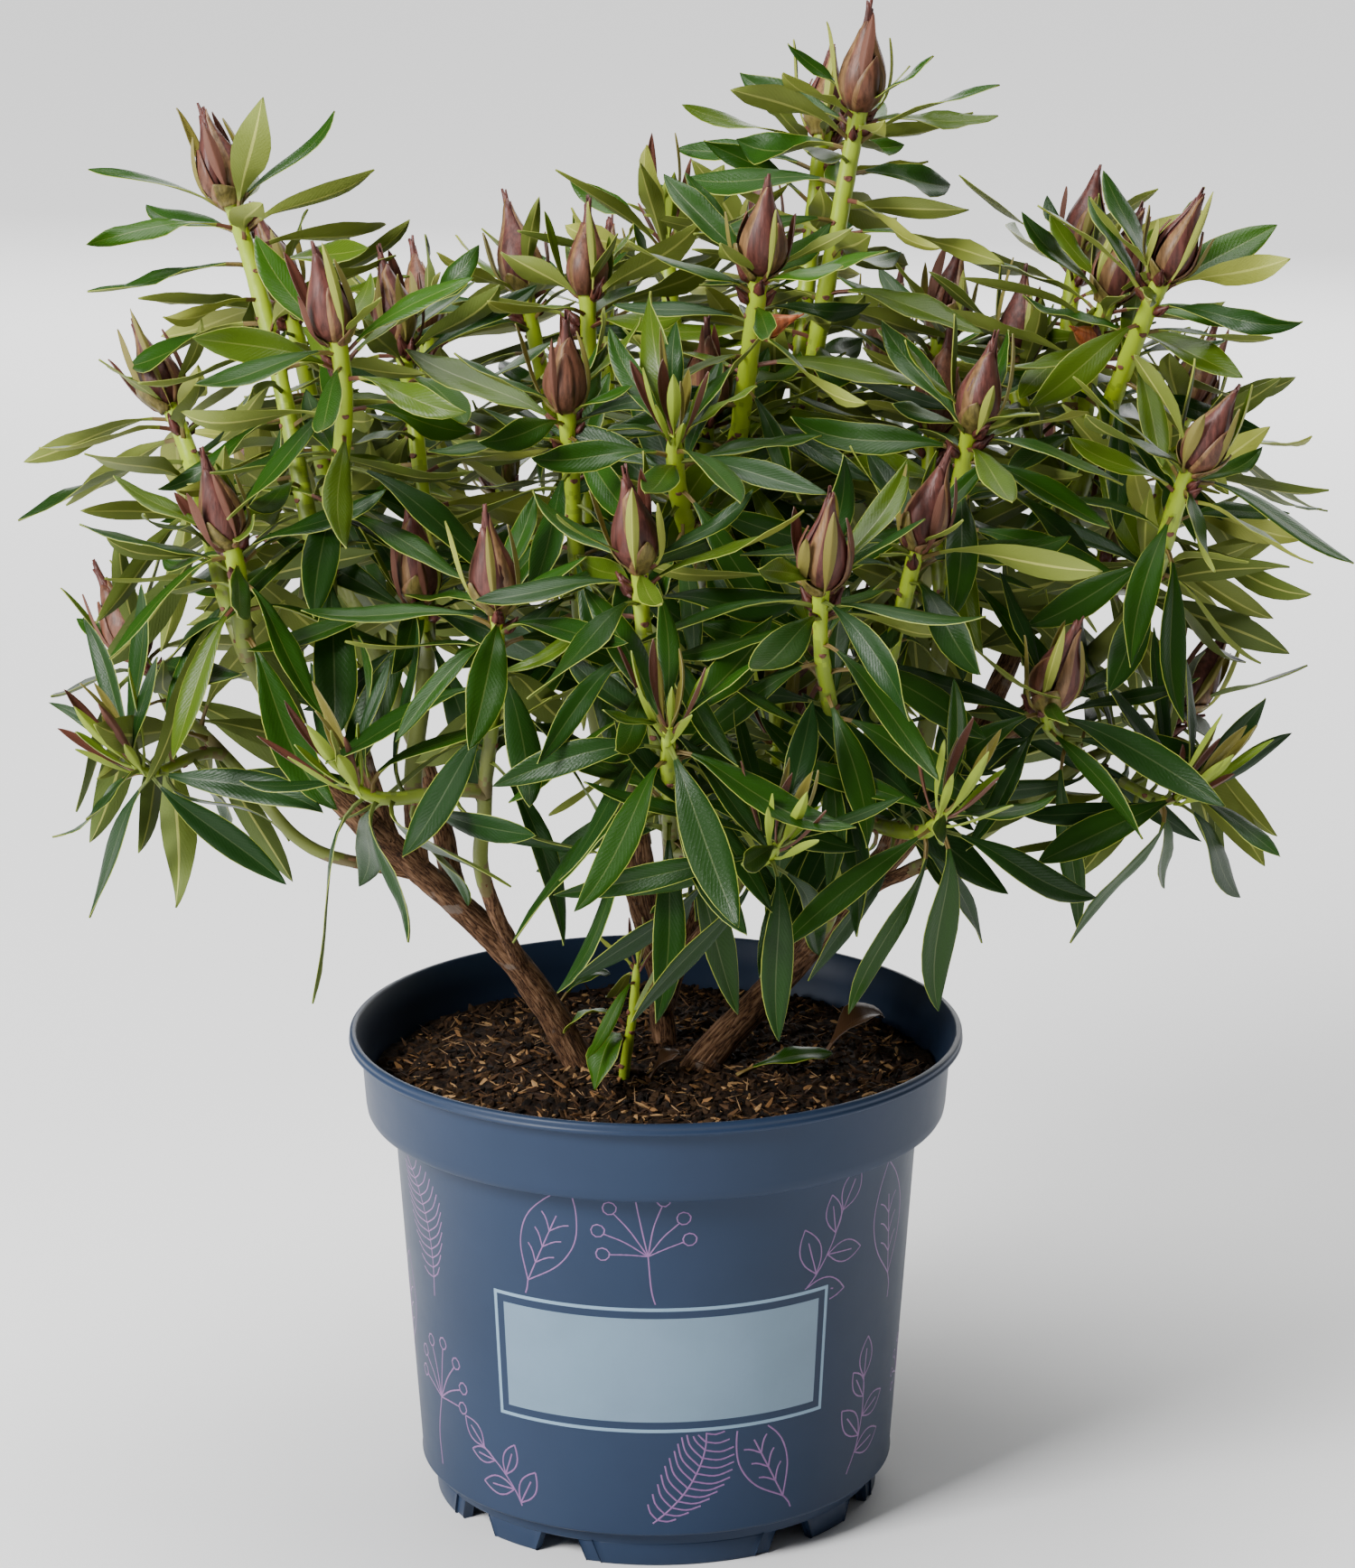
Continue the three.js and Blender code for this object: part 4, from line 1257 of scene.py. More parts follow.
@dataclass
class PotPrint:
    """A plain label with a frame, and sprays in thin lines all round the wall.

    Everything is drawn flat first: x is the distance round the wall at the reference radius, and y is
    the height. A node tree then wraps it on the wall.
    """

    reference: float = 94.0
    label_left: float = -38.0  # degrees from the front
    label_right: float = 41.3
    label_bottom: float = 56.2
    label_top: float = 105.9
    frame_width: float = 1.3
    panel_gap: float = 2.9
    line_width: float = 1.15
    lowest: float = 19.0
    highest: float = 149.0

    def across(self, degrees: float) -> float:
        """The flat distance for a bearing."""
        return radians(degrees) * self.reference

    def label(self) -> Mesh:
        """The label's frame and its filled panel, flat."""
        left, right, low, high = self.field(0.0)
        edge = self.frame_width
        panel = self.field(-self.frame_width - self.panel_gap)
        parts = MeshParts()
        for x0, x1, y0, y1, film in (
            (left, right, low, low + edge, Film.FRAME),
            (left, right, high - edge, high, Film.FRAME),
            (left, left + edge, low + edge, high - edge, Film.FRAME),
            (right - edge, right, low + edge, high - edge, Film.FRAME),
            (*panel, Film.PANEL),
        ):
            stops = np.linspace(x0, x1, max(2, round((x1 - x0) / 2)))
            front, back = ([[(x, y, side) for x in stops] for y in (y0, y1)] for side in (1, -1))
            parts.add_sheet(front, back, film, film)
        return parts.mesh("label")

    def field(self, margin: float) -> tuple[float, float, float, float]:
        """The label's left, right, low and high limits with a margin round them."""
        left, right = self.across(self.label_left) - margin, self.across(self.label_right) + margin
        return left, right, self.label_bottom - margin, self.label_top + margin

    def strokes(self) -> Mesh:
        """The line pattern round the whole wall, flat, kept off the label and within the wall."""
        points: list[Vector] = []
        edges: Faces = []
        for half in (0, 180):
            for bearing, height, turn, size, draw in MOTIFS:
                pen = Pen(Vector((self.across(bearing + half), height, 0)), 90 - turn, size / 10)
                draw(pen)
                for piece in (piece for stroke in pen.strokes for piece in self.shown(stroke)):
                    edges += [(len(points) + i, len(points) + i + 1) for i in range(len(piece) - 1)]
                    points += piece
        return mesh_of("strokes", points, edges=edges)

    def shown(self, stroke: list[Vector]) -> list[list[Vector]]:
        """The stretches of a stroke that are printed: off the label and within the wall.

        Args:
            stroke: the points of the stroke.

        Returns:
            The stretches of two points or more.
        """
        left, right, low, high = self.field(0.6)
        pieces: list[list[Vector]] = [[]]
        for point in stroke:
            on_label = left < point.x < right and low < point.y < high
            if on_label or not self.lowest < point.y < self.highest:
                pieces.append([])
            else:
                pieces[-1].append(point)
        return [piece for piece in pieces if len(piece) > 1]

    def wrap(self, tree: GeometryTree, proud: float) -> None:
        """Bends a flat drawing round the wall.

        Args:
            tree: the tree whose geometry is the drawing, in millimetres.
            proud: how far a depth of 1 stands off the wall, in millimetres.
        """
        s = SIZES
        slope = (s.body - s.foot_line_radius) / (s.band_foot - s.foot_line)
        x, y, z = tree.place().split()
        angle = tree.math("DIVIDE", x, self.reference)
        radius = (y - s.foot_line) * slope + s.foot_line_radius + z * proud
        across, forward = radius * angle.to("SINE") * MM, radius * angle.to("COSINE") * -MM
        tree.move(Position=tree.xyz(across, forward, y * MM))

    def build(self) -> None:
        """Builds the label and the line pattern."""
        label = GeometryTree("label_wrapped")
        self.wrap(label, 0.12)
        for film, colour in ((Film.FRAME, (0.18, 0.29, 0.4)), (Film.PANEL, (0.14, 0.22, 0.3))):
            ink = Ink(f"label_{film.name.lower()}", colour, 0.32)
            label.dress([(ink.build(), label.equals("zone", film))])
        label.flat_shaded()
        finished(label.run("pot_label", self.label()), "pot")

        lines = GeometryTree("lines_wrapped")
        lines.then("GeometryNodeMeshToCurve")
        length = lines.given_input("Step", "Float", 1.7)
        lines.then("GeometryNodeResampleCurve", {"Length": length}, mode="LENGTH")
        ring = lines.circle(4, lines.given_input("Line Width", "Float", self.line_width) * 0.5)
        lines.then("GeometryNodeCurveToMesh", {"Profile Curve": ring, "Fill Caps": True})
        self.wrap(lines, 0.16)
        lines.dress([(Ink("print_line", (0.21, 0.092, 0.245)).build(), None)])
        finished(lines.run("pot_line_print", self.strokes()), "pot")


# ---- compost


@dataclass(frozen=True)
class Litter:
    """One kind of bits in the compost, strewn by chance. Sizes are millimetres.

    The density is copies for each square metre, least and most are the smallest and largest sizes, and
    the tilt is in degrees.
    """

    name: str
    sides: int
    bend: float
    density: float
    least: Triple
    most: Triple
    tilt: float
    seed: int
    tints: tuple[Triple, ...]


LITTERS = (
    Litter(
        "compost_crumbs", 5, 0.0, 54000, (1.8, 1.5, 1.2), (6.0, 4.6, 3.6), 60, 3,
        ((0.013, 0.007, 0.004), (0.022, 0.012, 0.006), (0.038, 0.02, 0.009), (0.006, 0.004, 0.003)),
    ),
    Litter(
        "compost_chips", 4, 0.12, 52000, (2.8, 0.8, 0.4), (10.5, 2.6, 1.3), 38, 11,
        ((0.22, 0.11, 0.042), (0.09, 0.045, 0.02), (0.32, 0.185, 0.08), (0.04, 0.02, 0.01),
         (0.06, 0.03, 0.014), (0.024, 0.012, 0.007)),
    ),
    Litter(
        "compost_fibres", 3, 0.35, 17000, (7.0, 0.35, 0.3), (20.0, 0.75, 0.6), 30, 19,
        ((0.28, 0.17, 0.085), (0.12, 0.064, 0.03), (0.05, 0.026, 0.014)),
    ),
)


@dataclass
class Soil:
    """The root ball: a mound of bark compost with crumbs, chips and fibres lying on it."""

    # the compost's near-black colour is partly its own and partly painted shade for the hollows of its relief
    compost: Compost = Compost("compost", (0.005, 0.003, 0.0024), 0.9, 0.12)
    middle: float = 170.0
    edge: float = 163.0
    gap: float = 0.3
    rings: int = 64
    around: int = 200
    roughness: float = 4.4  # depth of the crumbs' relief, in millimetres
    strewn: float = 0.1065  # radius within which bits lie, in metres
    strewn_from: float = 0.155  # height above which bits lie, in metres
    rough_from: float = 0.156  # height above which the relief begins, in metres

    def surface(self) -> Mesh:
        """The top of the mound and the wall and floor under it, closed."""
        s, rings = SIZES, self.rings
        rim = s.band_foot_radius - s.wall - self.gap
        floor = s.floor + s.floor_thickness + self.gap
        parts = [(i, between(self.middle, self.edge, (i / rings) ** 2.4)) for i in range(1, rings + 1)]
        rows = [(rim * i / rings, height) for i, height in parts]
        rows += [
            (rim - 0.6, s.band_foot + 3),
            (s.body - s.wall - self.gap, s.band_foot - 3),
            (s.foot_line_radius - s.wall - self.gap - 0.6, floor + 6),
            (s.foot - s.wall - 3, floor),
        ]
        points = [(0.0, 0.0, self.middle * MM), (0.0, 0.0, floor * MM)]
        turns = [tau * step / self.around for step in range(self.around)]
        for radius, height in rows:
            points += [(cos(a) * radius * MM, sin(a) * radius * MM, height * MM) for a in turns]
        return mesh_of("compost", points, dome_faces(len(rows), self.around))

    @staticmethod
    def shard(name: str, sides: int, bend: float) -> Object:
        """A splinter or a crumb of unit size: a crooked spindle with flat facets.

        Args:
            name: its name.
            sides: how many sides it has.
            bend: how much it bows.

        Returns:
            The shape.
        """
        rows = ((-0.5, 0.25), (-0.2, 0.9), (0.22, 1.0), (0.5, 0.3))
        points = []
        for row, (x, width) in enumerate(rows):
            for side in range(sides):
                angle = tau * (side + 0.3 * sin(row * 2.1 + side)) / sides
                swell = width * (0.5 + 0.12 * sin(3.7 * side + 2.3 * row))
                points.append((x, swell * cos(angle), swell * sin(angle) + bend * x * x * 2))
        return bpy.data.objects.new(name, mesh_of(name, points, tube_faces(len(rows), sides)))

    def strew(self, litter: Litter) -> None:
        """Strews copies of one shape over the mound.

        Args:
            litter: the kind of bits.
        """
        name, seed = litter.name, litter.seed
        shape = self.shard(name + "_shape", litter.sides, litter.bend)
        tree = GeometryTree(name)
        self.roughen(tree)
        x, y, height = tree.place().split()
        reach = tree.math("SQRT", x * x + y * y)
        within = tree.above(self.strewn - litter.most[0] * MM / 2, reach)
        inputs = {
            "Selection": tree.both(within, tree.above(height, self.strewn_from)),
            "Density": tree.given_input("Density", "Float", litter.density),
            "Seed": seed,
        }
        tree.then("GeometryNodeDistributePointsOnFaces", inputs)
        tree.store("tint", tree.random(0, len(litter.tints) - 1, seed + 1, "INT"), "INT")
        least, most = ([part * MM for part in size] for size in (litter.least, litter.most))
        lean = radians(litter.tilt)
        euler = tree.random((-lean, -lean, 0.0), (lean, lean, tau), seed + 2, VECTOR)
        inputs = {
            "Instance": tree.lent("Shape", shape),
            "Rotation": tree.get("FunctionNodeEulerToRotation", {0: euler}),
            "Scale": tree.random(least, most, seed + 3, VECTOR),
        }
        tree.then("GeometryNodeInstanceOnPoints", inputs)
        coats = []
        for tint, colour in enumerate(litter.tints):
            skin = Living(f"{name}_{tint}", colour, 0.8, 0.12, 0.6, 900.0)
            coats.append((skin.build(), tree.equals("tint", tint)))
        tree.dress(coats)
        tree.flat_shaded()
        finished(tree.run(name, self.surface()), "soil")
        drop(shape)

    def roughen(self, tree: GeometryTree) -> None:
        """Raises lumps and hollows on the open top of the mound.

        Args:
            tree: the tree through which the mound flows.
        """
        place = tree.place()
        coarse = tree.noise(place, 55.0, 4.0, 0.65) - 0.5
        fine = tree.noise(place, 260.0, 3.0, 0.6) - 0.5
        lift = (coarse * 1.6 + fine) * (self.roughness * MM)
        open_top = tree.above(place.split()[2], self.rough_from)
        tree.move(Selection=open_top, Offset=tree.xyz(0.0, 0.0, lift))

    def build(self) -> None:
        """Builds the mound and everything that lies on it."""
        mound = GeometryTree("compost_mound")
        self.roughen(mound)
        mound.dress([(self.compost.build(), None)])
        finished(mound.run("compost", self.surface()), "soil", "root_ball")
        for litter in LITTERS:
            self.strew(litter)


# ---- stems and boughs


@dataclass(frozen=True)
class TwigRule:
    """How a mass divides into shoots. Lengths are millimetres."""

    root: float = 3.7
    tip: float = 3.3
    stem_length: float = 9.0
    lean: float = 1 / 420
    follow: float = 0.35
    leave: float = 0.33
    arrive: float = 0.36


TWIG = TwigRule()
# Where a bough is young its bark turns olive and then green.
YOUNG_BARK = {"bark_olive": (0.115, 0.09, 0.033), "bark_green": (0.125, 0.15, 0.027)}


@dataclass
class Limb:
    """A stem or bough: its path in metres, its radii, and how much it widens at the foot."""

    path: Path
    root: float
    tip: float
    flare: float = 0.0

    def radius(self, part: float) -> float:
        """The radius in metres for a part of the length."""
        return (between(self.root, self.tip, part) + self.flare * math.exp(-part / 0.2)) * MM


@dataclass
class Wood:
    """The stems and boughs, with bark that splits and flakes along them."""

    bark: Bark = Bark("bark", (0.115, 0.054, 0.025), 0.85, 0.2)
    sides: int = 24
    step: float = 0.0016
    relief: float = 0.0007
    stem_flare: float = 1.5
    collar: float = 1.2

    def __post_init__(self) -> None:
        """Lays out the limbs."""
        self.limbs: dict[str, Limb] = {}
        for name, (points, root, tip) in STEMS.items():
            path = Path.through([millimetres(point) for point in points])
            self.limbs[name] = Limb(path, root, tip, self.stem_flare)
        for name, (stem, at, via, tip, root, end) in BOUGHS.items():
            start = self.limbs[f"stem_{stem}"].path.at(at)
            self.limbs[f"bough_{name}"] = Limb(
                Path.through([start, millimetres(via), millimetres(tip)]), root, end
            )

    def lines(self) -> Mesh:
        """The limbs' paths, each bough with a collar at its stem and grown on to where it divides."""
        lines = []
        for name, limb in self.limbs.items():
            path, bough = limb.path, float(name in BOUGH_NAMES)
            if bough:
                path = Path([*path.points, path.at(1) + path.way(1) * TWIG.stem_length * MM])

            def radius(part: float, limb: Limb = limb, path: Path = path, bough: float = bough) -> float:
                """The radius with the collar where a bough leaves its stem."""
                swell = bough * self.collar * MM * math.exp(-part * path.length / 0.009)
                return limb.radius(min(1.0, part * path.length / limb.path.length)) + swell

            lines.append((path, radius, self.step, bough))
        return swept_lines(lines)

    def build(self) -> None:
        """Builds all the limbs as one piece."""
        tree = GeometryTree("barked_limbs")
        tree.sweep(self.sides)
        depth = tree.given_input("Relief", "Float", self.relief)
        place = tree.place()
        angle, girth = tree.named("round") * tau, tree.named("thick") * 620.0
        grain = tree.xyz(angle.to("COSINE") * girth, angle.to("SINE") * girth, tree.named("run") * 85.0)
        tree.store("grain", grain + place * 8.0, VECTOR)
        strips = tree.noise(tree.named("grain", VECTOR), 1.0, 4.0, 0.6)
        knots = tree.noise(place, 70.0, 2.0)
        start, fleck = tree.noise(place, 11.0, 1.0) - 0.5, tree.noise(place, 160.0) - 0.5
        young = ((tree.named("part") - 0.45) * 4.0 + start * 3.5 + fleck * 2.4) * tree.named("fresh")
        tree.store("young", tree.get("ShaderNodeClamp", {"Value": young}))
        height = ((strips - 0.5) * 2.4 + (knots - 0.5) * 1.6) * (1.0 - tree.named("young") * 0.7)
        tree.move(Offset=tree.get("GeometryNodeInputNormal") * (height * depth))
        coats = [(self.bark.build(), None)]
        for (name, tint), least in zip(YOUNG_BARK.items(), (0.2, 0.5)):
            skin = Living(name, tint, 0.6, 0.4, 0.8, 700.0).build()
            coats.append((skin, tree.above(tree.named("young"), least)))
        tree.dress(coats)
        finished(tree.run("stems_and_boughs", self.lines()), "bark", *STEMS, *BOUGH_NAMES)


# ---- shoots and their leaves


@dataclass(frozen=True)
class LeafRule:
    """How leaves stand along a shoot. Lengths are millimetres and angles degrees."""

    outward: int = 4
    whorl: int = 10
    whorl_step: float = 1.6
    upright: int = 3
    upright_pitch: Pair = (38, 54)
    whorl_pitch: Pair = (42, 76)
    lower_pitch: Pair = (68, 96)
    hang: float = 24
    low_droop: float = 76
    high_droop: float = 18
    roll: float = 30
    step: float = 4.4
    shortest: float = 57
    longest: float = 72
    narrowest: float = 0.148
    broadest: float = 0.19
    low: float = 260
    high: float = 470
    bare: float = 0.12
    bend_shape: float = 0.8
    upright_scale: float = 0.68
    upright_droop: float = 8
    attempts: int = 16
    aside: float = 10
    lift: float = 9
    ease: float = 0.15
    shorten: float = 0.02
    parts: int = 8
    stray_phase: Pair = (-25, 25)
    stray_turn: Pair = (-12, 12)
    stray_length: Pair = (0.86, 1.14)
    stray_width: Pair = (0.72, 1.34)
    stray_droop: Pair = (0.55, 1.25)

    def height_part(self, point: Vector) -> float:
        """How far up a point lies between hanging and rising leaves."""
        return limited((point.z / MM - self.low) / (self.high - self.low))


@dataclass(frozen=True)
class BudSizes:
    """Sizes of a closed flower bud in millimetres."""

    length: float = 40.0
    radius: float = 8.3
    point_radius: float = 3.0


LEAF, BUD = LeafRule(), BudSizes()


class Draw(IntEnum):
    """What a repeatable number is drawn for."""

    PHASE, PITCH, LENGTH, WIDTH, DROOP, ROLL, TURN, TWIST, TINT, RIPPLE, FOLD, LIFT, SCAR, SWAY = range(14)


class Dress(IntEnum):
    """The colours that a blade can wear."""

    DEEP, BLUE_GREEN, MIDDLE, BRIGHT, OLIVE, YOUNG, OCHRE, PURPLE, DEAD, BROWN = range(10)


class Zone(IntEnum):
    """The places on a blade."""

    TOP, UNDERSIDE, MARGIN, MIDRIB, KEEL, STALK = range(6)


@dataclass
class LeafPlan:
    """Where a leaf stands on its shoot and how it is meant to lie."""

    below: float
    turn: float
    pitch: float
    length: float
    ratio: float
    droop: float
    roll: float


# The outline of a leaf: parts of its length, and the half width there as a part of the greatest one.
OUTLINE = (
    (0.0, 0.24), (0.09, 0.13), (0.18, 0.12), (0.27, 0.27), (0.36, 0.52), (0.45, 0.75), (0.54, 0.92),
    (0.63, 1.0), (0.72, 0.97), (0.8, 0.83), (0.875, 0.62), (0.935, 0.38), (0.975, 0.18), (1.0, 0.02),
)


@dataclass
class Blade:
    """A leaf, bract or young leaf: the bend of its midrib, in metres, and how it is dressed."""

    foot: Vector
    arm: Vector
    bow: Vector
    tip: Vector
    side: Vector
    half: float
    dress: Dress
    twist: float = 0.0
    fold: float = 0.2
    ripple: float = 0.0
    thick: float = 1.0

    def spot(self, part: float) -> Vector:
        """The point of the midrib at a part of its length."""
        rest = 1 - part
        outer = self.foot * rest**3 + self.tip * part**3
        return outer + self.arm * 3 * rest**2 * part + self.bow * 3 * rest * part**2

    def right(self, part: float) -> Vector:
        """The direction across the blade at a part of its length."""
        rest = 1 - part
        way = (self.arm - self.foot) * rest**2 + (self.bow - self.arm) * 2 * rest * part
        along = (way + (self.tip - self.bow) * part**2).normalized()
        up = along.cross(self.side).normalized()
        return round_about(up.cross(along), up, self.twist * part * part)

    def strip(self) -> list[Vector]:
        """Both edges and the midrib at some stations of the outline."""
        points = []
        for part, width in (OUTLINE[i] for i in (2, 4, 6, 9, 13)):
            middle, aside = self.spot(part), self.right(part) * self.half * width
            points += [middle - aside, middle, middle + aside]
        return points


class Thicket:
    """The leaves laid so far, for keeping a new one from passing through them."""

    def __init__(self) -> None:
        """Starts with no leaves."""
        self.middles = np.empty((0, 3))
        self.reaches = np.empty(0)
        self.surfaces: list[BVHTree] = []

    def add_if_free(self, points: Sequence[Vector]) -> bool:
        """Adds a leaf unless it passes through one that is there.

        Args:
            points: its strip, station by station.

        Returns:
            Whether it was free and has been added.
        """
        cloud = np.array(points)
        middle = cloud.mean(0)
        reach = np.linalg.norm(cloud - middle, axis=1).max()
        halves = (a + half for a in range(0, len(points) - 3, 3) for half in (0, 1))
        surface = BVHTree.FromPolygons(points, [(a, a + 1, a + 4, a + 3) for a in halves])
        near = np.linalg.norm(self.middles - middle, axis=1) < self.reaches + reach
        if any(self.surfaces[i].overlap(surface) for i in np.flatnonzero(near)):
            return False
        self.middles = np.vstack([self.middles, middle])
        self.reaches = np.append(self.reaches, reach)
        self.surfaces.append(surface)
        return True


@dataclass
class Shoot:
    """A green shoot, from where its mass divides up to its bud or tuft."""

    number: int
    mass: str
    start: Vector
    way: Vector  # the direction of its mass's stem
    tip: Vector  # the foot of its bud or the tip of its tuft
    end: End
    root: float  # the radius of its mass's stem, in millimetres
    leaf_scale: float  # the size of its leaves as a part of the full size

    def __post_init__(self) -> None:
        """Lays out the shoot's curve."""
        start, tip = self.start, self.tip
        self.stout = min(1.0, self.root / TWIG.root)
        self.bearing = math.degrees(math.atan2(tip.y, tip.x))
        chord = tip - start
        reach = chord.length
        lean = Vector((tip.x, tip.y, 0)) / MM * TWIG.lean
        self.tip_way = (UP + lean + chord * TWIG.follow / reach).normalized()
        leave = start + (self.way + chord / reach).normalized() * reach * TWIG.leave
        self.path = Path.arch(start, leave, tip - self.tip_way * reach * TWIG.arrive, tip)
        self.length = self.path.length / MM

    def radius(self, part: float) -> float:
        """The radius in metres for a part of the length."""
        return between(TWIG.root, TWIG.tip, part) * self.stout * MM

    def draw(self, leaf: int, purpose: Draw, low: float = -1, high: float = 1) -> float:
        """A repeatable number between two limits for one of its leaves."""
        return between(low, high, chance(self.number, leaf, purpose))

    def frame_at(self, below: float) -> tuple[Vector, Vector, Vector, Vector]:
        """The point, the direction and two cross directions at a distance below the tip."""
        part = max(0.0, 1 - below / self.length)
        along = self.path.way(part)
        first = (Vector((1, 0, 0)) - along * along.x).normalized()
        return self.path.at(part), along, first, along.cross(first)


class Crown:
    """All the shoots of the plant and the blades that grow on them."""

    LIMB_GAP, SHOOT_GAP = 0.001, 0.0005  # how far a leaf keeps off limbs, and off shoots and buds
    RIM_GAP, RIM_TOP = 3, 187  # millimetres that a leaf keeps outside the rim, up to a height
    LIMB_STEP, SHOOT_STEP = 0.011, 0.02  # the length of the pieces that stand for them

    def __init__(self, wood: Wood) -> None:
        """Grows the shoots from the tips of the boughs, and the young shoot from the compost.

        Args:
            wood: the stems and boughs.
        """
        masses = []
        for name, ends in ENDS.items():
            limb = wood.limbs[f"bough_{name}"]
            masses.append((mass_name(name), limb.path.at(1), limb.path.way(1), limb.tip, 1.0, ends))
        foot, tip, root, leaf_scale = YOUNG_SHOOT
        start = millimetres(foot)
        way = (millimetres(tip) - start).normalized()
        masses.append(("leaves_young_shoot", start, way, root, leaf_scale, [(*tip, End.TUFT)]))
        self.shoots: list[Shoot] = []
        for mass, start, way, root, leaf_scale, ends in masses:
            hub = start + way * TWIG.stem_length * MM
            for *tip, end in ((*spot, End.BUD)[:4] for spot in ends):
                number, tip = len(self.shoots), millimetres(tip)
                self.shoots.append(Shoot(number, mass, hub, way, tip, end, root, leaf_scale))
        self.limb_rods = Rods()
        for limb in wood.limbs.values():
            self.limb_rods.add_path(limb.path, limb.radius, self.LIMB_STEP)
        self.own_rods = [self.rods_for(shoot) for shoot in self.shoots]
        self.thicket = Thicket()

    def rods_for(self, shoot: Shoot) -> Rods:
        """What the leaves of a shoot keep clear of.

        Args:
            shoot: the shoot.

        Returns:
            The other shoots and the buds as round pieces.
        """
        rods = Rods()
        for other in self.shoots:
            if other is not shoot:
                rods.add_path(other.path, other.radius, self.SHOOT_STEP)
            if other.end is End.BUD:
                foot, way = other.path.at(1), other.tip_way
                low, middle, top = (foot + way * BUD.length * MM * part for part in (0.2, 0.5, 1.0))
                rods.rods += [(low, middle, BUD.radius * MM), (middle, top, BUD.point_radius * MM)]
        return rods

    def plans(self, shoot: Shoot) -> list[LeafPlan]:
        """Where a shoot's leaves stand and how each one is meant to lie.

        Args:
            shoot: the shoot.

        Returns:
            The plans, from the tip down.
        """
        plans: list[LeafPlan] = []
        phase = shoot.bearing - LEAF.outward * GOLDEN
        phase += shoot.draw(0, Draw.PHASE, *LEAF.stray_phase)
        while True:
            leaf = len(plans)
            crowded = min(leaf, LEAF.whorl) * LEAF.whorl_step
            below = 1 + crowded + max(0, leaf - LEAF.whorl) * LEAF.step
            if below > shoot.length * (1 - LEAF.bare) or (shoot.leaf_scale < 1 and leaf > 4):
                return plans
            height = LEAF.height_part(shoot.frame_at(below)[0])
            upright = leaf < LEAF.upright
            side = LEAF.whorl_pitch if leaf < LEAF.whorl else LEAF.lower_pitch
            pitch = shoot.draw(leaf, Draw.PITCH, *(LEAF.upright_pitch if upright else side))
            length = shoot.leaf_scale * between(LEAF.longest, LEAF.shortest, height)
            length = length * (LEAF.upright_scale if upright else 1)
            droop = between(LEAF.low_droop, LEAF.high_droop, height)
            droop = droop * shoot.draw(leaf, Draw.DROOP, *LEAF.stray_droop)
            ratio = between(LEAF.narrowest, LEAF.broadest, height)
            plans.append(
                LeafPlan(
                    below=below,
                    turn=phase + leaf * GOLDEN + shoot.draw(leaf, Draw.TURN, *LEAF.stray_turn),
                    pitch=pitch + (0 if upright else LEAF.hang * (1 - height)),
                    length=length * shoot.draw(leaf, Draw.LENGTH, *LEAF.stray_length),
                    ratio=ratio * shoot.draw(leaf, Draw.WIDTH, *LEAF.stray_width),
                    droop=LEAF.upright_droop if upright else droop,
                    roll=shoot.draw(leaf, Draw.ROLL, -LEAF.roll, LEAF.roll),
                )
            )

    def fits(self, shoot: Shoot, blade: Blade) -> bool:
        """Tests a leaf against limbs, other shoots, buds, pot and leaves, and notes one that fits.

        Args:
            shoot: the shoot.
            blade: the leaf.

        Returns:
            Whether it keeps off all of them.
        """
        points = blade.strip()
        for point in points:
            if math.hypot(point.x, point.y) < (SIZES.rim + self.RIM_GAP) * MM and point.z < self.RIM_TOP * MM:
                return False
        cloud = np.array(points)
        if self.limb_rods.nearest(cloud) < self.LIMB_GAP:
            return False
        if self.own_rods[shoot.number].nearest(cloud[3:]) < self.SHOOT_GAP:
            return False
        return self.thicket.add_if_free(points)

    def leaf_blade(self, shoot: Shoot, leaf: int, plan: LeafPlan) -> Blade | None:
        """A leaf laid the first way that fits: as planned, then turned, lifted or shortened.

        Args:
            shoot: the shoot.
            leaf: the leaf's number on it.
            plan: how it is meant to lie.

        Returns:
            The leaf, or None where it fits in no way.
        """
        for attempt in range(LEAF.attempts):
            aside = math.ceil(attempt / 2) * (1 if attempt % 2 else -1)
            trial = replace(
                plan,
                turn=plan.turn + aside * LEAF.aside,
                pitch=plan.pitch - attempt % 3 * LEAF.lift,
                length=plan.length * (1 - attempt * LEAF.shorten),
                droop=plan.droop * (1 - attempt % 4 * LEAF.ease),
            )
            blade = self.bent(shoot, leaf, trial)
            if self.fits(shoot, blade):
                return blade
        return None

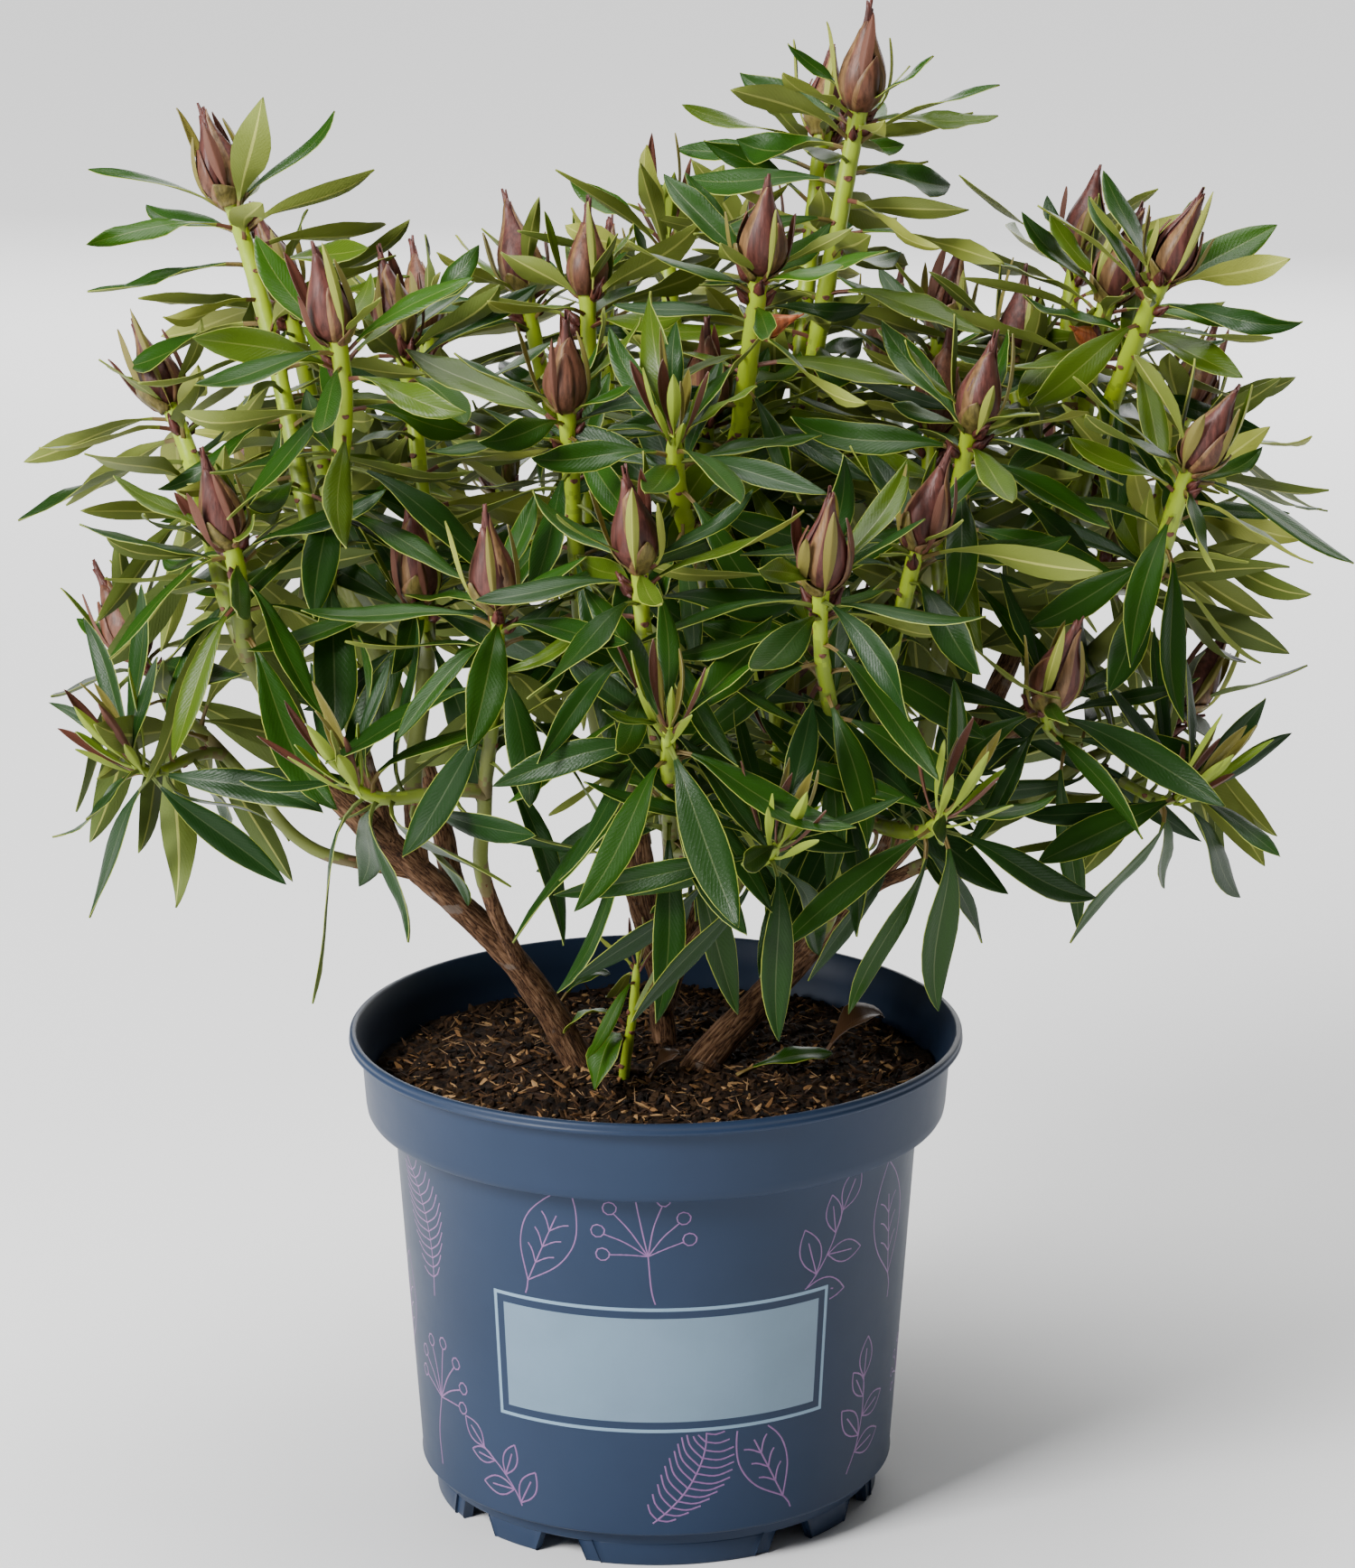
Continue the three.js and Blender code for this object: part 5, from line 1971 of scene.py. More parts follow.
    def bent(self, shoot: Shoot, leaf: int, plan: LeafPlan) -> Blade:
        """The blade of a leaf, with a stalk that rises before it bends over and a tip that lifts.

        Args:
            shoot: the shoot.
            leaf: the leaf's number on it.
            plan: how it lies.

        Returns:
            The blade.
        """
        point, along, first, second = shoot.frame_at(plan.below)
        outward = round_about(first, second, radians(plan.turn))
        heading = way = round_about(along, outward, radians(plan.pitch))
        side = turned(along.cross(outward), way, plan.roll)
        spots = [point.copy()]
        for i in range(LEAF.parts):
            heading = turned(way, side, plan.droop * (i / LEAF.parts) ** LEAF.bend_shape)
            spots.append(spots[-1] + heading * plan.length * MM / LEAF.parts)
        length = plan.length * MM
        height = LEAF.height_part(point)
        leaving = (spots[2] - point).normalized() + along * between(0.75, 0.4, height)
        easing = turned(heading, side, -0.45 * plan.droop - 6 - 16 * shoot.draw(leaf, Draw.LIFT))
        twist = shoot.draw(leaf, Draw.TWIST)
        sway = side * (shoot.draw(leaf, Draw.SWAY) * length * 0.13)
        return Blade(
            foot=point,
            arm=point + leaving.normalized() * length * 0.3,
            bow=spots[-1] - easing * length * 0.4 + sway,
            tip=spots[-1],
            side=side,
            half=plan.length * plan.ratio / 2 * MM,
            dress=self.dress_of(shoot, leaf, height),
            twist=math.copysign(twist * twist, twist) * between(0.6, 2.6, height),
            fold=shoot.draw(leaf, Draw.FOLD, -0.12, 0.34),
            ripple=shoot.draw(leaf, Draw.RIPPLE) * between(0.0005, 0.0013, height),
        )

    @staticmethod
    def dress_of(shoot: Shoot, leaf: int, height: float) -> Dress:
        """The colours of a leaf, lighter towards the top of the crown and of its shoot.

        Args:
            shoot: the shoot.
            leaf: the leaf's number on it.
            height: its part of the crown's height.

        Returns:
            The dress.
        """
        if shoot.leaf_scale < 1:
            return Dress.BRIGHT
        draw = shoot.draw(leaf, Draw.TINT, 0)
        tone = height * 0.62 + draw * 0.8 - 0.24
        light = Dress.OLIVE if draw > 0.72 else Dress.BRIGHT
        steps = ((0.12, Dress.BLUE_GREEN), (0.42, Dress.DEEP), (0.8, Dress.MIDDLE))
        return next((dress for limit, dress in steps if tone < limit), light)

    def leaves(self) -> dict[str, list[Blade]]:
        """The leaves of each mass."""
        found: dict[str, list[Blade]] = {}
        for shoot in self.shoots:
            blades = (self.leaf_blade(shoot, leaf, plan) for leaf, plan in enumerate(self.plans(shoot)))
            found.setdefault(shoot.mass, []).extend(blade for blade in blades if blade is not None)
        return found


# ---- blades


# The colours of a blade's top and underside in each dress, and of the stalk where the blade is a leaf.
REDDISH = (0.13, 0.045, 0.025)
DRESSES = {
    Dress.DEEP: ((0.008, 0.032, 0.0025), (0.095, 0.13, 0.016), (0.1, 0.13, 0.015)),
    Dress.BLUE_GREEN: ((0.008, 0.03, 0.0045), (0.08, 0.115, 0.02), (0.09, 0.12, 0.02)),
    Dress.MIDDLE: ((0.013, 0.047, 0.0025), (0.15, 0.185, 0.026), (0.15, 0.1, 0.025)),
    Dress.BRIGHT: ((0.025, 0.075, 0.003), (0.2, 0.235, 0.033), REDDISH),
    Dress.OLIVE: ((0.05, 0.088, 0.005), (0.245, 0.27, 0.038), REDDISH),
    Dress.YOUNG: ((0.15, 0.24, 0.016), (0.22, 0.29, 0.024)),
    Dress.OCHRE: ((0.15, 0.13, 0.024), (0.165, 0.14, 0.027)),
    Dress.PURPLE: ((0.1, 0.034, 0.022), (0.12, 0.045, 0.027)),
    Dress.DEAD: ((0.2, 0.03, 0.01), (0.24, 0.045, 0.014)),
    Dress.BROWN: ((0.07, 0.034, 0.016), (0.1, 0.052, 0.026)),
}


class BladeMaker:
    """Grows leaves, bracts and young leaves from one flat blade that a node tree bends."""

    STALK_ROWS = 2
    # Across the blade: the place as a part of the half width, the lift as a part of the thickness
    # on its side, and the zone of the face that follows.
    SECTION = (
        (-1.0, 0.0, Zone.MARGIN),
        (-0.958, 0.8, Zone.TOP),
        (-0.5, 1.0, Zone.TOP),
        (-0.04, 0.55, Zone.MIDRIB),
        (0.04, 0.55, Zone.TOP),
        (0.5, 1.0, Zone.TOP),
        (0.958, 0.8, Zone.MARGIN),
        (1.0, 0.0, Zone.UNDERSIDE),
        (0.5, -0.8, Zone.UNDERSIDE),
        (0.08, -1.7, Zone.KEEL),
        (-0.08, -1.7, Zone.UNDERSIDE),
        (-0.5, -0.8, Zone.UNDERSIDE),
    )
    RIGHT_EDGE = 7  # the number of the right edge in the section
    UPPER, LOWER = 0.00024, 0.00032  # thickness above and under the middle of the blade
    VECTORS, NUMBERS = ("foot", "arm", "bow", "tip", "side"), ("half", "twist", "fold", "ripple", "thick")

    def __init__(self) -> None:
        """Builds the flat blade and the materials."""
        self.shape = bpy.data.objects.new("blade", self.flat_blade())
        self.coats = {key: skin.build() for dress in Dress for key, skin in self.skins(dress).items()}

    def flat_blade(self) -> Mesh:
        """The closed flat blade: x across as a part of the half width, y along, z in metres."""
        size = len(self.SECTION)
        points, veins, zones, faces = [], [], [], []
        for row, (along, width) in enumerate(OUTLINE):
            stout = 1.9 if row <= self.STALK_ROWS else 1.0
            for across, lift, _ in self.SECTION:
                depth = self.UPPER if lift > 0 else self.LOWER
                points.append((across * width, along, lift * depth * stout))
                veins.append((across, along, 0.0))
        for row in range(len(OUTLINE) - 1):
            for i, (_, _, zone) in enumerate(self.SECTION):
                a, b = row * size, (row + 1) * size
                after = (i + 1) % size
                if i < self.RIGHT_EDGE:
                    faces += [(a + i, a + after, b + after), (a + i, b + after, b + i)]
                else:
                    faces += [(a + i, a + after, b + i), (a + after, b + after, b + i)]
                zones += [Zone.STALK if row < self.STALK_ROWS else zone] * 2
        faces += [tuple(reversed(range(size))), tuple(range(len(points) - size, len(points)))]
        mesh = mesh_of("blade", points, faces)
        write(mesh, "zone", "INT", [*zones, Zone.STALK, Zone.MARGIN], "FACE")
        write(mesh, "flat", VECTOR, points)
        write(mesh, "vein", VECTOR, veins)
        left = range(0, size * (len(OUTLINE) - 1), size)
        rim = {(i + edge, i + edge + size) for i in left for edge in (0, self.RIGHT_EDGE)}
        sharp = [tuple(sorted(edge.vertices)) in rim for edge in mesh.edges]
        write(mesh, "sharp_edge", "BOOLEAN", sharp, "EDGE")
        return mesh

    @staticmethod
    def skins(dress: Dress) -> dict[tuple[Zone, Dress], Leathery]:
        """The finish of each place on a blade in a dress.

        Args:
            dress: the dress.

        Returns:
            Each finish by its place and the dress.
        """
        top, under, *stalk = DRESSES[dress]
        margin = (0.25, 0.29, 0.034) if stalk else tuple(between(part, 0.4, 0.2) for part in under)
        rib = tuple(between(part, more, 0.22) for part, more in zip(top, under))
        keel = tuple(between(part, more, 0.55) for part, more in zip(under, (0.5, 0.5, 0.12)))
        looks = (
            (Zone.TOP, "top", top, 0.35, 0.18),
            (Zone.UNDERSIDE, "under", under, 0.6, 0.3),
            (Zone.MARGIN, "margin", margin, 0.5, 0.3),
            (Zone.MIDRIB, "midrib", rib, 0.4, 0.4),
            (Zone.KEEL, "keel", keel if stalk else under, 0.6, 0.3),
            (Zone.STALK, "stalk", (*stalk, under)[0], 0.5, 0.4),
        )
        kind = f"leaf_{dress.name.lower()}"
        return {(zone, dress): Leathery(f"{kind}_{name}", *look) for zone, name, *look in looks}

    def points(self, blades: Sequence[Blade]) -> Mesh:
        """The feet of the blades as a cloud of points that carry everything else about them.

        Args:
            blades: the blades.

        Returns:
            The cloud as a mesh.
        """
        mesh = mesh_of("feet", [blade.foot for blade in blades])
        for name in self.VECTORS:
            write(mesh, name, VECTOR, [tuple(getattr(blade, name)) for blade in blades])
        for name in self.NUMBERS:
            write(mesh, name, "FLOAT", [getattr(blade, name) for blade in blades])
        write(mesh, "dress", "INT", [int(blade.dress) for blade in blades])
        return mesh

    def bend(self, tree: GeometryTree) -> None:
        """Lays each flat blade along the bend of its midrib.

        Args:
            tree: the tree whose geometry is the flat blades.
        """
        foot, arm, bow, tip, side = (tree.named(name, VECTOR) for name in self.VECTORS)
        half, twist, fold, ripple, thick = (tree.named(name) for name in self.NUMBERS)
        across, part, lift = tree.named("flat", VECTOR).split()
        rest = 1.0 - part
        spot = foot * (rest * rest * rest) + arm * (rest * rest * part * 3.0)
        spot = spot + bow * (rest * part * part * 3.0) + tip * (part * part * part)
        along = (arm - foot) * (rest * rest) + (bow - arm) * (rest * part * 2.0)
        along = (along + (tip - bow) * (part * part)).to("NORMALIZE")
        up = along.cross(side).to("NORMALIZE")
        level = up.cross(along)
        angle = twist * (part * part)
        right = level * angle.to("COSINE") + up * angle.to("SINE")
        top = up * angle.to("COSINE") - level * angle.to("SINE")
        outward = across.to("ABSOLUTE")
        wave = (part * 15.0 + twist * 9.0 + across * 1.3).to("SINE")
        raised = lift * thick + outward * half * fold + outward * wave * ripple
        tree.move(Position=spot + right * (across * half) + top * raised)

    def grow(
        self, name: str, blades: Sequence[Blade], slot: str = "leaves", nodes: Sequence[str] = ()
    ) -> None:
        """Grows a piece of blades.

        Args:
            name: the piece's name.
            blades: its blades.
            slot: the record's material slot.
            nodes: the solids that the piece stands for.
        """
        tree = GeometryTree(name)
        tree.then("GeometryNodeInstanceOnPoints", {"Instance": tree.lent("Flat Blade", self.shape)})
        tree.then("GeometryNodeRealizeInstances")
        self.bend(tree)
        coats = []
        for dress in sorted({blade.dress for blade in blades}):
            for zone in Zone:
                chosen = tree.both(tree.equals("zone", zone), tree.equals("dress", dress))
                coats.append((self.coats[zone, dress], chosen))
        tree.dress(coats)
        finished(tree.run(name, self.points(blades)), slot, *nodes)


# ---- green shoots


# The skins of a shoot from its woody foot to its tip: the tone where each begins, colour and roughness.
BANDS = {
    "bark": (-9.0, (0.11, 0.065, 0.034), 0.75),
    "olive_brown": (0.06, (0.13, 0.105, 0.036), 0.65),
    "old": (0.2, (0.13, 0.15, 0.032), 0.42),
    "green": (0.4, (0.15, 0.2, 0.02), 0.42),
    "fresh": (0.6, (0.21, 0.29, 0.014), 0.42),
    "bright": (0.82, (0.28, 0.38, 0.012), 0.42),
}


@dataclass
class Shoots:
    """The green shoots: brownish and woody at the foot, bright under the bud, scarred by old leaves."""

    crown: Crown
    sides: int = 12
    step: float = 0.002
    scar_step: float = 8.5  # millimetres between the scars of fallen leaves
    first_scar: float = 9.0  # millimetres from a shoot's tip to its first scar
    bare_foot: float = 6.0  # millimetres at a shoot's foot without scars

    def lines(self) -> Mesh:
        """All the shoots' paths."""
        lines = []
        for shoot in self.crown.shoots:

            def radius(part: float, shoot: Shoot = shoot) -> float:
                """The radius, which swells under a bud and dwindles under a tuft."""
                near = math.exp(-(1 - part) * shoot.path.length / 0.004)
                if shoot.end is End.TUFT:
                    return shoot.radius(part) * (1 - 0.5 * near)
                return shoot.radius(part) + 0.0006 * near

            lines.append((shoot.path, radius, self.step, float(shoot.leaf_scale < 1)))
        return swept_lines(lines)

    def build(self) -> None:
        """Builds the shoots as one piece and the scars as another."""
        tree = GeometryTree("green_shoots")
        tree.sweep(self.sides)
        place = tree.place()
        lumps = tree.noise(place, 130.0, 2.0) - 0.5
        tree.move(Offset=tree.get("GeometryNodeInputNormal") * (lumps * 0.0011))
        fleck = tree.noise(place, 240.0, 3.0, 0.6) - 0.5
        tone = (place.split()[2] - 0.25) * 3.0 + tree.named("part") * 0.62 + fleck * 0.7 + tree.named("fresh")
        for name, (least, tint, rough) in BANDS.items():
            skin = Living(f"shoot_{name}", tint, rough, 0.4, 0.5, 800.0)
            tree.dress([(skin.build(), tree.above(tone, least))])
        finished(tree.run("green_shoots", self.lines()), "leaves")
        self.scars()

    @staticmethod
    def scar() -> Object:
        """The scar of a fallen leaf: a low shield with a raised rim, wider than high, in metres."""
        sides, rings = 7, ((1.0, -0.6), (0.8, 0.45), (0.4, 0.22))
        points = [(0.0, 0.0, -0.0008), (0.0, 0.0, 0.00018)]
        for reach, lift in rings:
            for angle in (tau * side / sides for side in range(sides)):
                across, drop = cos(angle), 0.35 * cos(angle) ** 2
                spot = (1.6 * reach * across, 1.1 * reach * (sin(angle) + drop), lift)
                points.append(tuple(value * MM for value in spot))
        parts = MeshParts()
        parts.add(points, [(face[0], *face[:0:-1]) for face in dome_faces(len(rings), sides)])
        return bpy.data.objects.new("scar", parts.mesh("scar"))

    def scars(self) -> None:
        """Builds the scars, in a spiral down each shoot."""
        copies = []
        for shoot in self.crown.shoots:
            below, number = self.first_scar, 0
            while below < shoot.length - self.bare_foot:
                part = 1 - below / shoot.length
                point, _, first, second = shoot.frame_at(below)
                turn = radians(GOLDEN * number + shoot.draw(number, Draw.SCAR, 0, 40))
                outward = round_about(first, second, turn)
                foot = point + outward * (shoot.radius(part) - 0.0001)
                copies.append(Copy(foot, outward, 0.0, shoot.draw(number, Draw.LIFT, 0.8, 1.15)))
                number += 1
                below += self.scar_step * shoot.draw(number, Draw.FOLD, 0.75, 1.25)
        shape = self.scar()
        skin = Living("leaf_scar", (0.13, 0.045, 0.026), 0.65, 0.4, 0.6, 900.0).build()
        finished(copies_piece("leaf_scars", [shape], copies, [skin]), "leaves")
        drop(shape)


# ---- buds


class Scale(IntEnum):
    """The looks of a bud's scales."""

    PURPLE, BROWN, OLIVE, STRIPE = range(4)


@dataclass(frozen=True)
class ScaleRing:
    """A ring of equal scales on a bud.

    Bottom and top are parts of the bud's length. The level over the egg, the half width, how far the free
    edge stands proud and how far the tip stands off are millimetres.
    """

    count: int
    level: float
    bottom: float
    top: float
    half: float
    proud: float
    flare: float
    look: Scale


@dataclass
class BudShape:
    """A closed flower bud: large scales wrapped round an egg that is drawn out to a ragged point."""

    rings: tuple[ScaleRing, ...]
    seed: int
    rows: int = 9
    columns: int = 5
    thick: float = 0.3
    profile: tuple[Pair, ...] = (
        (-0.06, 0.3), (0.0, 0.4), (0.1, 0.78), (0.18, 0.94), (0.26, 1.0), (0.36, 0.95), (0.47, 0.78),
        (0.58, 0.54), (0.68, 0.33), (0.78, 0.18), (0.88, 0.08), (1.0, 0.02),
    )

    def radius(self, height: float) -> float:
        """The egg's radius in millimetres for a part of its length."""
        return float(np.interp(height, *zip(*self.profile))) * BUD.radius

    def build(self, name: str) -> Object:
        """The bud as an object that a node tree copies, in metres, standing on its foot.

        Args:
            name: the object's name.

        Returns:
            The object.
        """
        rng = np.random.default_rng(self.seed)
        parts = MeshParts()
        sides, heights = 2 * self.columns, (-0.06, 0.05, 0.25, 0.5, 0.72, 0.93)
        turns = [tau * side / sides for side in range(sides)]
        points = [self.spot(turn, self.radius(height) * 0.88, height) for height in heights for turn in turns]
        parts.add(points, tube_faces(len(heights), sides), Scale.PURPLE)
        for ring in self.rings:
            first = rng.uniform(0, tau)
            for index in range(ring.count):
                self.scale(parts, ring, first + tau * index / ring.count, rng)
        return bpy.data.objects.new(name, parts.mesh(name))

    def spot(self, angle: float, radius: float, height: float) -> Triple:
        """A point on the bud in metres, from its bearing, its radius and its part of the length."""
        across, away = cos(angle) * radius, sin(angle) * radius
        return across * MM, away * MM, height * BUD.length * MM

    def scale(self, parts: MeshParts, ring: ScaleRing, angle: float, rng: Generator) -> None:
        """Adds one scale, whose first edge lies over its neighbour and whose other edge lies under one.

        Args:
            parts: what it is added to.
            ring: its ring.
            angle: its bearing.
            rng: the source of chance.
        """
        top = ring.top + rng.uniform(-0.13, 0.03)
        flare = ring.flare * rng.uniform(0.3, 1.3)
        sway = rng.uniform(-0.5, 0.5)
        front, back = [], []
        for t in (row / self.rows for row in range(self.rows + 1)):
            height = between(ring.bottom, top, t)
            body = self.radius(height)
            width = ring.half * (sin(math.pi * (0.17 + 0.83 * t**0.9)) ** 0.8 + 0.05)
            reach = min(1.45, width / (body + 0.2))
            sunk = min(0.0, ring.level) * (1 - t * t)
            for grid, lift in ((front, self.thick), (back, 0.0)):
                line = []
                for across in (column / self.columns * 2 - 1 for column in range(self.columns + 1)):
                    over = ring.proud * (1 - across) / 2 + 0.25 * (1 - across * across)
                    ripple = 0.12 * sin(9 * across + 5 * t + self.seed)
                    away = body + sunk + max(0.0, ring.level) + over + lift + ripple + flare * t**4
                    line.append(self.spot(angle + across * reach + sway * t**3, away, height))
                grid.append(line)
        parts.add_sheet(front, back, ring.look, Scale.STRIPE if ring.proud > 0.3 else ring.look)


# The colours of the scales: purple, brown, olive and the pale edge of the large ones.
BUD_TINTS = ((0.082, 0.026, 0.02), (0.112, 0.044, 0.025), (0.13, 0.1, 0.026), (0.15, 0.08, 0.034))
SIDE_BUD_TINTS = ((0.08, 0.022, 0.016),) * 4
DEAD_BUD_TINTS = ((0.28, 0.07, 0.02), (0.22, 0.05, 0.016), (0.3, 0.09, 0.026), (0.34, 0.11, 0.035))


@dataclass
class Buds:
    """Flower buds with their narrow bracts, small side buds, young tufts and two dead buds."""

    crown: Crown
    blades: BladeMaker
    seed: int = 23
    dead: tuple[Triple, ...] = ((46, -38, 452), (155, 30, 436))

    @staticmethod
    def shapes() -> list[Object]:
        """Three closed buds and a small side bud."""
        inner = ScaleRing(3, -0.7, 0.3, 1.02, 6.0, 0.12, 0.35, Scale.PURPLE)
        outer = ScaleRing(3, 0.1, 0.0, 0.93, 10.5, 0.5, 0.3, Scale.PURPLE)
        foot = ScaleRing(3, 1.0, -0.05, 0.3, 4.5, 0.35, 0.5, Scale.OLIVE)
        clasp = ScaleRing(2, 1.0, 0.0, 0.62, 4.0, 0.45, 0.9, Scale.BROWN)
        rings = (
            (inner, outer, foot),
            (replace(inner, count=4, flare=0.9), replace(outer, look=Scale.BROWN, top=0.84), clasp),
            (inner, replace(outer, count=2, half=12.0, top=0.97), clasp, replace(foot, count=2, level=1.9)),
        )
        buds = [BudShape(ring, number).build(f"bud_{number}") for number, ring in enumerate(rings)]
        small = (ScaleRing(3, 0.0, 0.0, 0.9, 9.0, 0.9, 0.6, Scale.PURPLE),)
        return [*buds, BudShape(small, 7, 4, 2).build("bud_side")]

    @staticmethod
    def bracts(shoot: Shoot, rng: Generator) -> list[Blade]:
        """The narrow bracts round the foot of a closed bud, close to its side.

        Args:
            shoot: the shoot.
            rng: the source of chance.

        Returns:
            The bracts.
        """
        blades = []
        point, _, first, second = shoot.frame_at(1.0)
        way, length = shoot.tip_way, BUD.length * MM
        count = int(rng.integers(4, 6))
        for index in range(count):
            outward = round_about(first, second, tau * (index + rng.uniform(-0.3, 0.3)) / count)
            loose = index % 3 == 2
            reach = length * rng.uniform(0.5, 0.95)
            hugged = 0.0088 if reach < length * 0.62 else 0.0052
            spread = rng.uniform(0.012, 0.018) if loose else hugged + rng.uniform(0.0, 0.003)
            foot = point - way * rng.uniform(0.0, 0.003) + outward * 0.002
            arm = foot + outward * 0.0105 + way * reach * 0.15
            bow = point + way * reach * 0.66 + outward * (0.013 if loose else 0.0105)
            tip, half = point + way * reach + outward * spread, rng.uniform(0.0014, 0.0026)
            dress = Dress(rng.choice([Dress.OCHRE, Dress.OLIVE, Dress.PURPLE], p=[0.5, 0.2, 0.3]))
            look = (way.cross(outward), half, dress, rng.uniform(-0.6, 0.6))
            blades.append(Blade(foot, arm, bow, tip, *look, fold=0.4, thick=0.8))
        return blades

    @staticmethod
    def tuft(shoot: Shoot, rng: Generator) -> list[Blade]:
        """The upright young leaves of a tuft.

        Args:
            shoot: the shoot.
            rng: the source of chance.

        Returns:
            The young leaves.
        """
        blades = []
        point, _, first, second = shoot.frame_at(0.5)
        way = shoot.tip_way
        scale, count = (0.55, 6) if shoot.leaf_scale < 1 else (1.0, 11)
        for index in range(count):
            outward = round_about(first, second, radians(GOLDEN * index + rng.uniform(-15, 15)))
            lean = between(0.1, 0.75, index / count)
            reach = rng.uniform(0.022, 0.042) * scale
            foot = point - way * 0.0006 * index
            arm = foot + (way + outward * (lean + 0.5)).normalized() * reach * 0.3
            bow = foot + (way + outward * (lean * 0.8 + 0.2)).normalized() * reach * 0.7
            tip = foot + (way + outward * lean).normalized() * reach
            young = Dress.YOUNG if index % 3 else Dress.OCHRE
            dress = Dress.PURPLE if index % 4 == 1 else young
            look = (way.cross(outward), rng.uniform(0.0014, 0.0027) * scale, dress, rng.uniform(-0.6, 0.6))
            blades.append(Blade(foot, arm, bow, tip, *look, fold=0.45, thick=0.7))
        return blades

    def dead_buds(self, size: float) -> list[Copy]:
        """Small dead buds, each on the shoot that comes nearest to its place.

        Args:
            size: their size as a part of a flower bud's.

        Returns:
            Where they stand.
        """
        copies = []
        for place in map(millimetres, self.dead):
            points = [shoot.path.at(i / 20) for shoot in self.crown.shoots for i in range(21)]
            foot = min(points, key=lambda point: (point - place).length)
            way = ((place - foot).normalized() + UP * 0.3).normalized()
            copies.append(Copy(foot + way * 0.002, way, 0.6, size))
        return copies

    def build(self) -> None:
        """Builds the buds, bracts, tufts and side buds."""
        rng = np.random.default_rng(self.seed)
        shapes = self.shapes()
        flower, side, bracts, tufts = [], [], [], []
        for shoot in self.crown.shoots:
            if shoot.end is End.TUFT:
                tufts += self.tuft(shoot, rng)
                continue
            lean = Vector((rng.uniform(-0.1, 0.1), rng.uniform(-0.1, 0.1), 0))
            way = (shoot.tip_way + lean).normalized()
            size, spin = rng.uniform(0.88, 1.0), rng.uniform(0, tau)
            flower.append(Copy(shoot.path.at(1) - way * 0.001, way, spin, size, int(rng.integers(0, 3))))
            bracts += self.bracts(shoot, rng)
            for _ in range(int(rng.integers(3, 6))):
                spot, along, first, second = shoot.frame_at(rng.uniform(2, 17))
                angle = rng.uniform(0, tau)
                outward = round_about(first, second, angle)
                ahead = (along + outward * 0.8).normalized()
                side.append(Copy(spot + outward * 0.0028, ahead, angle, rng.uniform(0.16, 0.3)))
        for name, some, copies, tints in (
            ("flower_buds", shapes[:3], flower, BUD_TINTS),
            ("side_buds", shapes[3:], side, SIDE_BUD_TINTS),
            ("dead_buds", shapes[:1], self.dead_buds(0.45), DEAD_BUD_TINTS),
        ):
            looks = ((f"{name}_{look.name.lower()}", tint) for look, tint in zip(Scale, tints))
            skins = [Living(*look, 0.45, 0.3, 1.0, 900.0, 7.0, 0.42).build() for look in looks]
            finished(copies_piece(name, some, copies, skins), "leaves")
        self.blades.grow("bud_bracts", bracts)
        self.blades.grow("young_tufts", tufts, "young_leaves")
        drop(*shapes)


# ---- fallen leaves

# Leaves at the foot of the stems: foot, tip, half width, how far the middle is raised, and the dress.
FALLEN = (
    ((30, -26, 171), (66, -13, 175), 5.5, 2.5, Dress.MIDDLE),
    ((62, -8, 170), (86, 12, 181), 6.5, 7.0, Dress.BROWN),
    ((-2, -30, 171), (9, -20, 177), 3.5, 3.0, Dress.BROWN),
    ((-38, 58, 171), (-18, 66, 181), 4.0, 5.0, Dress.MIDDLE),
    ((-12, -29, 186), (-22, -52, 174), 7.0, 9.0, Dress.BRIGHT),
    ((-11, -30, 192), (-34, -34, 190), 5.0, 7.0, Dress.BRIGHT),
)


def fallen_blades() -> list[Blade]:
    """The leaves that lie on the compost, and two that hang from the young shoot."""
    blades = []
    for start, end, half, raised, dress in FALLEN:
        foot, tip = millimetres(start), millimetres(end)
        lift = UP * raised * 1.33 * MM
        arm, bow = foot.lerp(tip, 0.3) + lift, foot.lerp(tip, 0.7) + lift
        side = UP.cross(tip - foot).normalized()
        fold = 0.45 if dress is Dress.BROWN else 0.1
        blades.append(Blade(foot, arm, bow, tip, side, half * MM, dress, 0.5, fold, 0.0009))
    return blades


# ---- studio

# Each lamp: its place, its two sizes and its power.
LAMPS = {
    "lamp_key": ((-1.45, -1.35, 1.6), 0.8, 0.8, 100.0),
    "lamp_low": ((-2.0, -0.9, 0.75), 0.8, 0.8, 22.0),
    "lamp_top": ((0.0, 0.2, 2.0), 1.2, 1.2, 42.0),
    "lamp_back": ((0.5, 2.6, 1.15), 3.0, 1.2, 42.0),
}


